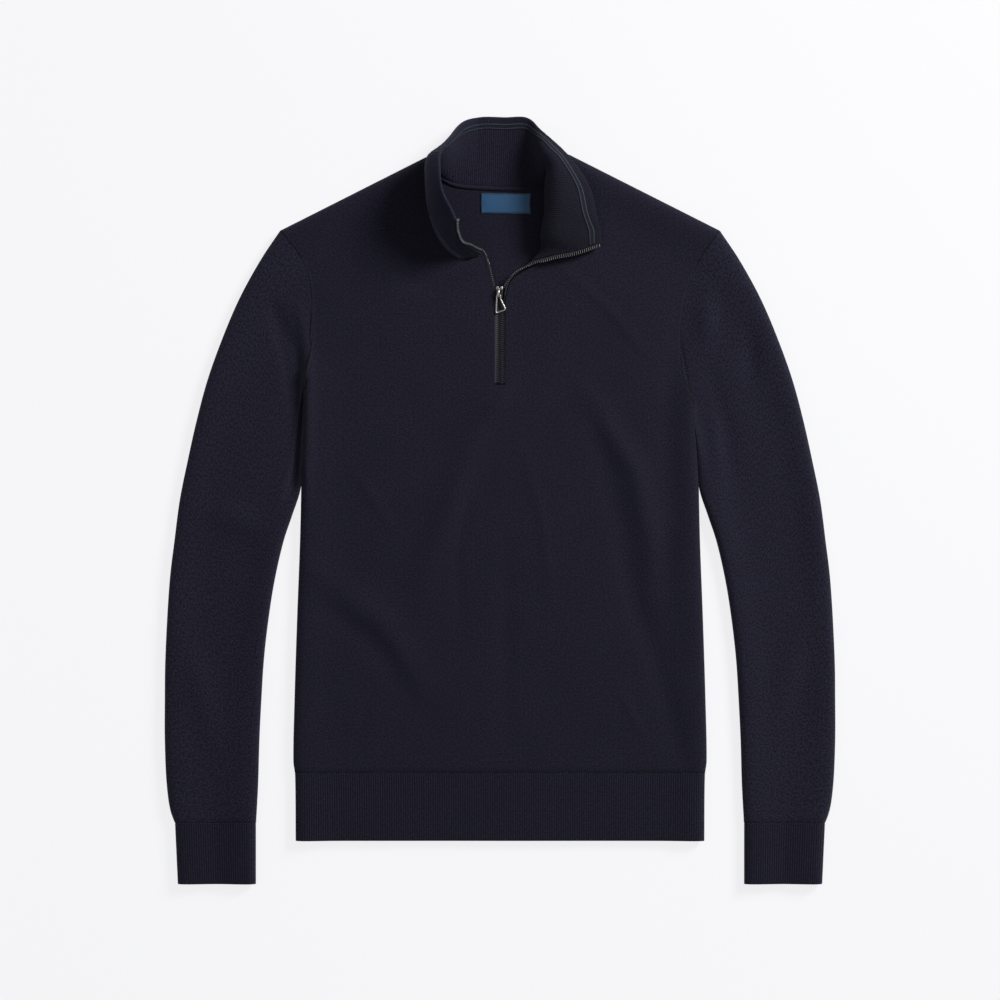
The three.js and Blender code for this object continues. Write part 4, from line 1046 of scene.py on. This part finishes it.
def armhole_seam(side, front, material):
    """The linked seam along the body's edge of an armhole, sunk in the cloth."""
    line = [(SIDES[side] * (out - 1.5), up) for up, out in ARMHOLES[side][:-1]]
    blocks = chain_seam(line, surface_of(front), pitch=1.5, width=0.9, raised=-0.2)
    return joined_blocks(f"armhole_{side}_seam", blocks, material)


def seam_allowance(side, material):
    """The seam's turned-in cloth, which lies inside the garment under the armhole's edges."""
    sign = SIDES[side]
    line = [(sign * out, up, 3.9 if up < 230 else 4.6) for up, out in ARMHOLES[side][:-1]]
    line.append((sign * (SHOULDER[0] - 0.2), SHOULDER[1] - 0.1, 5.4))
    return raised_band(f"armhole_{side}_allowance", line, 1.7, 0.5, material)


# Materials

class Nodes:
    """Adds nodes to a tree by socket name and value."""

    def __init__(self, tree):
        self.tree = tree

    def link(self, source, target):
        self.tree.links.new(source, target)

    def add(self, kind, inputs=None, **settings):
        node = self.tree.nodes.new(kind)
        for name, value in settings.items():
            setattr(node, name, value)
        for name, value in (inputs or {}).items():
            if isinstance(value, bpy.types.NodeSocket):
                self.link(value, node.inputs[name])
            else:
                node.inputs[name].default_value = value
        return node

    def calc(self, operation, first, second=0.0, third=0.0):
        return self.add("ShaderNodeMath", {0: first, 1: second, 2: third}, operation=operation).outputs[0]

    def blend(self, share, low, high):
        return self.add("ShaderNodeMix", {0: share, 6: low, 7: high}, data_type="RGBA").outputs[2]

    def ramp(self, value, start, stop, low=0.0, high=1.0):
        """Goes from low to high while the value goes from start to stop."""
        node = self.add("ShaderNodeMapRange", {"Value": value, 1: start, 2: stop, 3: low, 4: high})
        return node.outputs[0]

    def noise(self, place, scale, detail):
        node = self.add("ShaderNodeTexNoise", {"Vector": place, "Scale": scale, "Detail": detail})
        return node.outputs["Fac"]

    def split(self, vector):
        return self.add("ShaderNodeSeparateXYZ", {0: vector}).outputs

    def scaled(self, vector, scale):
        return self.add("ShaderNodeVectorMath", {0: vector, 3: scale}, operation="SCALE").outputs[0]

    def on_object(self):
        """The place on the object, in metres."""
        return self.add("ShaderNodeTexCoord").outputs["Object"]

    def on_knit(self):
        """The place on the knit map, in millimetres."""
        return self.scaled(self.add("ShaderNodeUVMap", uv_map="knit").outputs["UV"], 1000.0)

    def bump(self, shader, strength, depth, height):
        node = self.add("ShaderNodeBump", {"Strength": strength, "Distance": depth * MM, "Height": height})
        self.link(node.outputs["Normal"], shader.inputs["Normal"])


def new_group(name, inputs, outputs):
    """A node group, its node maker, and the sockets of its input and output."""
    group = bpy.data.node_groups.new(name, "ShaderNodeTree")
    for label, kind, value in inputs:
        socket = group.interface.new_socket(label, in_out="INPUT", socket_type=f"NodeSocket{kind}")
        if value is not None:
            socket.default_value = value
    for label, kind in outputs:
        group.interface.new_socket(label, in_out="OUTPUT", socket_type=f"NodeSocket{kind}")
    nodes = Nodes(group)
    return group, nodes, nodes.add("NodeGroupInput").outputs, nodes.add("NodeGroupOutput").inputs


def group_birdseye():
    """Bird's-eye knit: small raised dots in offset rows."""
    group, n, given, result = new_group(
        "birdseye_knit",
        [("Place", "Vector", None), ("Pitch", "Float", 2.4)],
        [("Height", "Float"), ("Painted shade", "Float")])
    warp = n.add("ShaderNodeTexNoise", {"Vector": given["Place"], "Scale": 0.35, "Detail": 2.0})
    moved = n.scaled(warp.outputs["Color"], 0.9)
    at = n.split(n.add("ShaderNodeVectorMath", {0: given["Place"], 1: moved}, operation="ADD").outputs[0])
    turns = n.calc("DIVIDE", 2 * math.pi, given["Pitch"])
    wale = n.calc("SINE", n.calc("MULTIPLY", at["X"], turns))
    course = n.calc("SINE", n.calc("MULTIPLY", at["Y"], turns))
    dots = n.calc("MULTIPLY_ADD", n.calc("MULTIPLY", wale, course), 0.5, 0.5)
    fine = n.calc("SINE", n.calc("MULTIPLY", at["X"], n.calc("MULTIPLY", turns, 2.0)))
    n.link(n.calc("MULTIPLY_ADD", fine, 0.12, dots), result["Height"])
    # How deep each place sits between the stitches, which the tone group paints as shade.
    n.link(n.calc("SUBTRACT", 1.0, dots), result["Painted shade"])
    return group


def group_jersey():
    """Plain knit: columns of V stitches."""
    group, n, given, result = new_group(
        "jersey_knit",
        [("Place", "Vector", None), ("Wale", "Float", 1.6), ("Course", "Float", 1.3)],
        [("Height", "Float"), ("Painted shade", "Float")])
    at = n.split(given["Place"])
    column = n.calc("DIVIDE", at["X"], given["Wale"])
    half = n.calc("ABSOLUTE", n.calc("SUBTRACT", n.calc("FRACT", column), 0.5))
    row = n.calc("ADD", n.calc("DIVIDE", at["Y"], given["Course"]), n.calc("MULTIPLY", half, 1.3))
    loop = n.calc("SINE", n.calc("MULTIPLY", row, 2 * math.pi))
    body = n.calc("SINE", n.calc("MULTIPLY", n.calc("MULTIPLY", half, 2.0), math.pi))
    rounds = n.calc("MULTIPLY_ADD", loop, 0.3, 0.7)
    height = n.calc("MULTIPLY", rounds, n.calc("MULTIPLY_ADD", body, 0.7, 0.3))
    n.link(height, result["Height"])
    # How deep each place sits between the stitches, which the tone group paints as shade.
    n.link(n.calc("SUBTRACT", 1.0, height), result["Painted shade"])
    return group


def group_cloth_tone():
    """Yarn colour: soft patches, mottled yarn, pale fibres, and painted shade in the stitches' hollows."""
    group, n, given, result = new_group(
        "cloth_tone",
        [("Place", "Vector", None), ("Colour", "Color", (0.013, 0.014, 0.02, 1)), ("Painted shade", "Float", 0.0),
         ("Mottle", "Float", 1.6)],
        [("Colour", "Color")])
    place = given["Place"]
    stretched = {"Vector": place, "Scale": (1.4, 0.3, 1.0), "Rotation": (0, 0, 0.6)}
    fibres = n.noise(n.add("ShaderNodeMapping", stretched).outputs[0], 1.1, 3.0)
    light = n.calc("MULTIPLY_ADD", n.noise(place, 0.02, 3.0), 0.30, 0.85)
    light = n.calc("MULTIPLY", light, n.calc("MULTIPLY_ADD", n.noise(place, 1.6, 2.0), 1.2, 0.4))
    away = n.calc("SUBTRACT", n.noise(place, 0.5, 1.0), 0.5)
    light = n.calc("MULTIPLY", light, n.calc("MULTIPLY_ADD", away, given["Mottle"], 1.0))
    # Painted shade in the stitches' hollows, and painted light on their tops.
    light = n.calc("MULTIPLY", light, n.calc("MULTIPLY_ADD", given["Painted shade"], -0.7, 1.35))
    light = n.calc("MULTIPLY_ADD", n.calc("GREATER_THAN", fibres, 0.72), 0.5, light)
    n.link(n.scaled(given["Colour"], light), result["Colour"])
    return group


def new_material(name, values):
    """A material with its shader's plain values set, its node maker and its shader."""
    material = bpy.data.materials.new(name)
    material.use_nodes = True
    material.node_tree.nodes.clear()
    n = Nodes(material.node_tree)
    shader = n.add("ShaderNodeBsdfPrincipled", values)
    n.add("ShaderNodeOutputMaterial", {"Surface": shader.outputs[0]})
    return material, n, shader


def tinted(material, tint):
    """Puts what a function makes of the material's nodes and base colour in that colour's place."""
    n = Nodes(material.node_tree)
    colour = material.node_tree.nodes["Principled BSDF"].inputs["Base Color"]
    n.link(tint(n, colour.links[0].from_socket), colour)
    return material


def cloth_material(name, groups, knit, colour, relief, depth, sheen, mottle=2.0, **pattern):
    """Knitted cloth: a knit group for its relief, and the tone group for its colour, with painted shade in
    the stitches' hollows.
    """
    material, n, shader = new_material(name, {
        "Roughness": 0.92, "Specular IOR Level": 0.18, "Sheen Weight": sheen, "Sheen Roughness": 0.55,
        "Sheen Tint": (0.62, 0.66, 0.85, 1)})
    place = n.on_knit()
    stitches = n.add("ShaderNodeGroup", node_tree=groups[knit])
    n.link(place, stitches.inputs["Place"])
    for label, value in pattern.items():
        stitches.inputs[label].default_value = value
    tone = n.add("ShaderNodeGroup", node_tree=groups["tone"])
    n.link(place, tone.inputs["Place"])
    # The knit's hollows drive the painted shade in the tone.
    n.link(stitches.outputs["Painted shade"], tone.inputs["Painted shade"])
    tone.inputs["Colour"].default_value = (*colour, 1)
    tone.inputs["Mottle"].default_value = mottle
    n.link(tone.outputs["Colour"], shader.inputs["Base Color"])
    height = n.calc("MULTIPLY_ADD", n.noise(place, 2.2, 3.0), 0.5, stitches.outputs["Height"])
    n.bump(shader, relief, depth, height)
    return material


def metal_material(name, dark, pale, painted_highlight_spans=()):
    """Antique nickel with worn patches. Given lit, the pale colour is a painted highlight, kept between two
    places along each of its axes.
    """
    material, n, shader = new_material(name, {"Metallic": 1.0})
    place = n.on_object()
    wear = n.noise(place, 900.0, 3.0)
    share = n.calc("MULTIPLY_ADD", wear, 0.6, 0.4)
    # Painted highlight: pale only where the piece rises past the given places.
    rises = [n.ramp(n.split(place)[axis], low * MM, high * MM) for axis, low, high in painted_highlight_spans]
    if rises:
        share = n.calc("MULTIPLY", share, n.calc("MAXIMUM", rises[0], rises[-1]))
    n.link(n.blend(share, (*dark, 1), (*pale, 1)), shader.inputs["Base Color"])
    n.link(n.calc("MULTIPLY_ADD", wear, 0.25, 0.22), shader.inputs["Roughness"])
    return material


def chain_material():
    """The closed teeth: dull, with a painted highlight on their crowns along one side. Both fade towards the
    bottom.
    """
    material, n, shader = new_material("zip_chain", {
        "Metallic": 0.1, "Roughness": 0.6, "Specular IOR Level": 0.2})
    at = n.split(n.on_object())
    # Painted highlight on the crowns of the teeth near X = -3.3 mm.
    painted_crown_highlight = n.ramp(n.calc("ABSOLUTE", n.calc("ADD", at["X"], 3.3 * MM)), 1.1 * MM, 0.4 * MM)
    fade = n.ramp(at["Y"], 122 * MM, 185 * MM)
    share = n.calc("MULTIPLY", painted_crown_highlight, n.calc("MULTIPLY_ADD", fade, 0.95, 0.05))
    dull = n.blend(fade, (0.009, 0.0085, 0.016, 1), (0.015, 0.0145, 0.019, 1))
    n.link(n.blend(share, dull, (0.24, 0.235, 0.24, 1)), shader.inputs["Base Color"])
    return material


def label_material():
    """Blue woven satin with fine cross threads, a darker border and no lettering."""
    material, n, shader = new_material("label_satin", {"Roughness": 0.42, "Sheen Weight": 0.1})
    knit = n.split(n.on_knit())
    threads = n.calc("SINE", n.calc("MULTIPLY", knit["Y"], 2 * math.pi / 0.45))
    cross = n.calc("SINE", n.calc("MULTIPLY", knit["X"], 2 * math.pi / 0.8))
    n.bump(shader, strength=0.35, depth=0.1, height=n.calc("MULTIPLY_ADD", cross, 0.3, threads))
    share = n.calc("MULTIPLY_ADD", threads, 0.5, 0.5)
    colour = n.blend(share, (0.006, 0.052, 0.130, 1), (0.014, 0.092, 0.215, 1))
    at = n.split(n.on_object())
    gaps = [n.calc("MINIMUM", n.calc("SUBTRACT", at[axis], LABEL[low] * MM),
                   n.calc("SUBTRACT", LABEL[high] * MM, at[axis]))
            for axis, low, high in (("X", "left", "right"), ("Y", "low", "high"))]
    border = n.ramp(n.calc("MINIMUM", *gaps), 2.4 * MM, 0.5 * MM, 0.0, 0.85)
    n.link(n.blend(border, colour, (0.003, 0.016, 0.036, 1)), shader.inputs["Base Color"])
    return material


def collar_material(groups, navy):
    """Collar knit, whose turned flap shows its inside; painted light brightens the standing part and painted
    shade darkens the flap.
    """
    def painted_light_and_shade(n, cloth):
        # Painted light and shade: colour scaled from 1.5 on the wearer's right to 0.6 on the wearer's left.
        return n.scaled(cloth, n.ramp(n.split(n.on_object())["X"], -75 * MM, 75 * MM, 1.5, 0.60))

    knit = cloth_material("collar_knit", groups, "jersey", navy, relief=0.6, depth=0.35, sheen=0.08,
                          Wale=1.03, Course=1.4)
    return tinted(knit, painted_light_and_shade)


def binding_material(groups):
    """Navy binding with a pale cord along each of its edges."""
    def corded(n, cloth):
        up = n.split(n.on_knit())["Y"]
        cords = [n.calc("LESS_THAN", n.calc("ABSOLUTE", n.calc("SUBTRACT", up, middle)), 0.45)
                 for middle in BINDING_CORDS]
        return n.blend(n.calc("MAXIMUM", *cords), cloth, (0.045, 0.049, 0.062, 1))

    tape = cloth_material("binding_tape", groups, "jersey", (0.0058, 0.0078, 0.0140), relief=0.5, depth=0.2,
                          sheen=0.1, Wale=0.8, Course=0.9)
    return tinted(tape, corded)


def tape_material():
    """Herringbone zip tape, a little paler below the slider, as painted light against the shade of the slot's
    walls.
    """
    material, n, shader = new_material("zip_tape", {"Roughness": 0.75})
    knit = n.split(n.on_knit())
    half = n.calc("ABSOLUTE", n.calc("SUBTRACT", n.calc("FRACT", n.calc("DIVIDE", knit["X"], 2.0)), 0.5))
    row = n.calc("ADD", n.calc("DIVIDE", knit["Y"], 0.9), n.calc("MULTIPLY", half, 2.0))
    height = n.calc("SINE", n.calc("MULTIPLY", row, 2 * math.pi))
    n.bump(shader, strength=0.6, depth=0.15, height=height)
    share = n.calc("MULTIPLY_ADD", height, 0.5, 0.5)
    colour = n.blend(share, (0.0055, 0.0053, 0.0112, 1), (0.0085, 0.0080, 0.0168, 1))
    # Painted light: paler tape in the slot below the slider, where the slot's walls shade it.
    below = n.ramp(n.split(n.on_object())["Y"], 208 * MM, 198 * MM)
    n.link(n.blend(below, colour, (0.0105, 0.010, 0.0205, 1)), shader.inputs["Base Color"])
    return material


def thread_material(name, colour):
    """Twisted thread, with random darker patches as painted shade between its strands."""
    material, n, shader = new_material(name, {"Roughness": 0.85})
    dark = tuple(0.6 * part for part in colour)
    # Painted shade between the strands, as random darker patches.
    strand_shade = n.noise(n.on_object(), 1500.0, 2.0)
    n.link(n.blend(strand_shade, (*dark, 1), (*colour, 1)), shader.inputs["Base Color"])
    return material


def floor_material():
    """The photo's plain pale ground."""
    return new_material("floor", {
        "Base Color": (0.15, 0.15, 0.153, 1), "Emission Color": (0.985, 0.985, 1.0, 1),
        "Emission Strength": 0.822, "Roughness": 0.95, "Specular IOR Level": 0.0})[0]


def make_materials():
    groups = {"birdseye": group_birdseye(), "jersey": group_jersey(), "tone": group_cloth_tone()}
    navy = (0.0094, 0.0084, 0.0191)
    body_navy, sleeve_navy = (tuple(share * part for part in navy) for share in (0.97, 1.12))
    dark, slider_dark, silver = (0.10, 0.085, 0.075), (0.06, 0.05, 0.045), (0.82, 0.80, 0.78)
    _, plate_top = slider_levels()
    # The slider's painted highlight: on the bridge above its upper plate, and at its top end.
    painted_highlight_spans = [("Z", plate_top + 0.3, plate_top + 1.8), ("Y", SLIDER["y"] + 2.6, SLIDER["y"] + 4.6)]
    return {
        "body": cloth_material("body_knit", groups, "birdseye", body_navy, relief=0.8, depth=0.5, sheen=0.10,
                               mottle=2.2, Pitch=2.6),
        "sleeve": cloth_material("sleeve_knit", groups, "jersey", sleeve_navy, relief=0.7, depth=0.4,
                                 sheen=0.10, mottle=3.8, Wale=1.8, Course=1.5),
        "rib": cloth_material("rib_knit", groups, "jersey", navy, relief=0.6, depth=0.35, sheen=0.10,
                              Wale=1.18, Course=1.5),
        "collar": collar_material(groups, navy),
        "binding": binding_material(groups),
        "label": label_material(),
        "tape": tape_material(),
        "metal": metal_material("zip_metal", dark, silver),
        "slider": metal_material("zip_slider_metal", slider_dark, silver, painted_highlight_spans),
        "chain": chain_material(),
        "thread": thread_material("seam_thread", (0.0075, 0.0072, 0.0145)),
        "floor": floor_material(),
    }


# Stage, lights and camera

def stage(floor_look):
    """The floor just under the sweater."""
    bpy.ops.mesh.primitive_plane_add(size=12, location=(0, 0, -0.0004))
    floor = bpy.context.object
    floor.name = "floor"
    floor.data.materials.append(floor_look)


def area_light(name, place, size, power):
    """A round lamp aimed at the sweater's middle."""
    light = bpy.data.lights.new(name, "AREA")
    light.shape = "DISK"
    light.size = size
    light.energy = power
    lamp = bpy.data.objects.new(name, light)
    bpy.context.scene.collection.objects.link(lamp)
    lamp.location = place
    lamp.rotation_euler = (-Vector(place)).to_track_quat("-Z", "Y").to_euler()


def lights():
    """A soft key light from the upper right, a weak fill and an even surround."""
    area_light("key", (2.45, 1.9, 1.8), size=1.2, power=137)
    area_light("fill", (-2.2, -0.6, 2.6), size=2.5, power=11)
    world = bpy.data.worlds.new("studio")
    world.use_nodes = True
    surround = world.node_tree.nodes["Background"].inputs
    surround["Color"].default_value = (0.97, 0.98, 1.0, 1)
    surround["Strength"].default_value = 0.24
    bpy.context.scene.world = world
    bpy.context.scene.view_settings.view_transform = "Standard"


def camera():
    """Looks straight down, as the photo does."""
    lens = bpy.data.cameras.new("camera")
    lens.lens = 100
    lens.sensor_width = 36
    lens.clip_start = 0.1
    lens.clip_end = 30
    seat = bpy.data.objects.new("camera", lens)
    bpy.context.scene.collection.objects.link(seat)
    seat.location = (0, 0, 2.86)
    bpy.context.scene.camera = seat


# The sweater

def ride_on(piece, body, slot, *nodes):
    """States the body and the replaced nodes of a piece. The slot is not used."""
    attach(piece, body)
    if nodes:
        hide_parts(*nodes)


def main():
    looks = make_materials()
    front_hole = smooth_outline(FRONT_NECK) + SLOT
    front = body_panel("front_knit", upper=True, low_rows=120, columns=shares(BODY_WIDTH, 8, 150),
                       arm_steps=(8, 70), outline=front_hole, material=looks["body"])
    back = body_panel("back_knit", upper=False, low_rows=24, columns=shares(BODY_WIDTH, 6, 30),
                      arm_steps=(6, 20), outline=BACK_NECK, material=looks["body"])
    sleeves = {side: sleeve(side, looks["sleeve"]) for side in SIDES}
    cuffs = {side: ribbed_band(f"cuff_{side}_rib", cuff_edges(sign), CUFF_SEAM - SEAM_GAP / 2, CUFF_BOTTOM,
                               shares(CUFF_WIDTH, 4, 8), looks["rib"]) for side, sign in SIDES.items()}
    hem = ribbed_band("hem_rib_band", hem_edges, HEM_SEAM - SEAM_GAP / 2, HEM_BOTTOM,
                      shares(HEM_WIDTH, 4, 30), looks["rib"])
    neck = collar(looks["collar"])
    binding = collar_binding(looks["binding"])
    label = neck_label(looks["label"])
    edges = {"right": ZipEdge(right_zip_frames()), "left": ZipEdge(left_zip_frames())}
    tapes = {side: zip_tape(side, edge, looks["tape"]) for side, edge in edges.items()}
    teeth = {side: zip_teeth(side, edge, looks["metal"]) for side, edge in edges.items()}
    chain = zip_chain(edges, looks["chain"])
    slider = zip_slider(looks["slider"])
    pull = zip_pull(looks["metal"])
    seams = [armhole_seam(side, front, looks["thread"]) for side in SIDES]
    seams += [seam_allowance(side, looks["sleeve"]) for side in SIDES]
    neck_seam = raised_band("neck_seam_band", NECK_SEAM, 1.75, 0.8, looks["collar"])

    ride_on(front, "garment", "knit", "front_panel")
    ride_on(back, "garment", "knit", "back_panel")
    for side in SIDES:
        ride_on(sleeves[side], "garment", "knit", f"sleeve_{side}")
        ride_on(cuffs[side], "garment", "rib_knit", f"cuff_{side}")
        ride_on(tapes[side], "garment", "zip_tape", f"zip_tape_{side}")
        ride_on(teeth[side], "garment", "zip_metal", f"zip_teeth_{side}")
    ride_on(hem, "garment", "rib_knit", "hem_rib")
    ride_on(neck, "garment", "rib_knit", "collar")
    ride_on(binding, "garment", "binding", "collar_binding")
    ride_on(label, "garment", "label", "neck_label")
    ride_on(chain, "garment", "zip_metal", "zip_chain")
    ride_on(slider, "garment", "zip_metal", "zip_slider")
    ride_on(pull, "pull_tab", "zip_metal", "zip_pull")
    ride_on(neck_seam, "garment", "rib_knit")
    for seam in seams:
        ride_on(seam, "garment", "knit")

    stage(looks["floor"])
    lights()
    camera()


main()
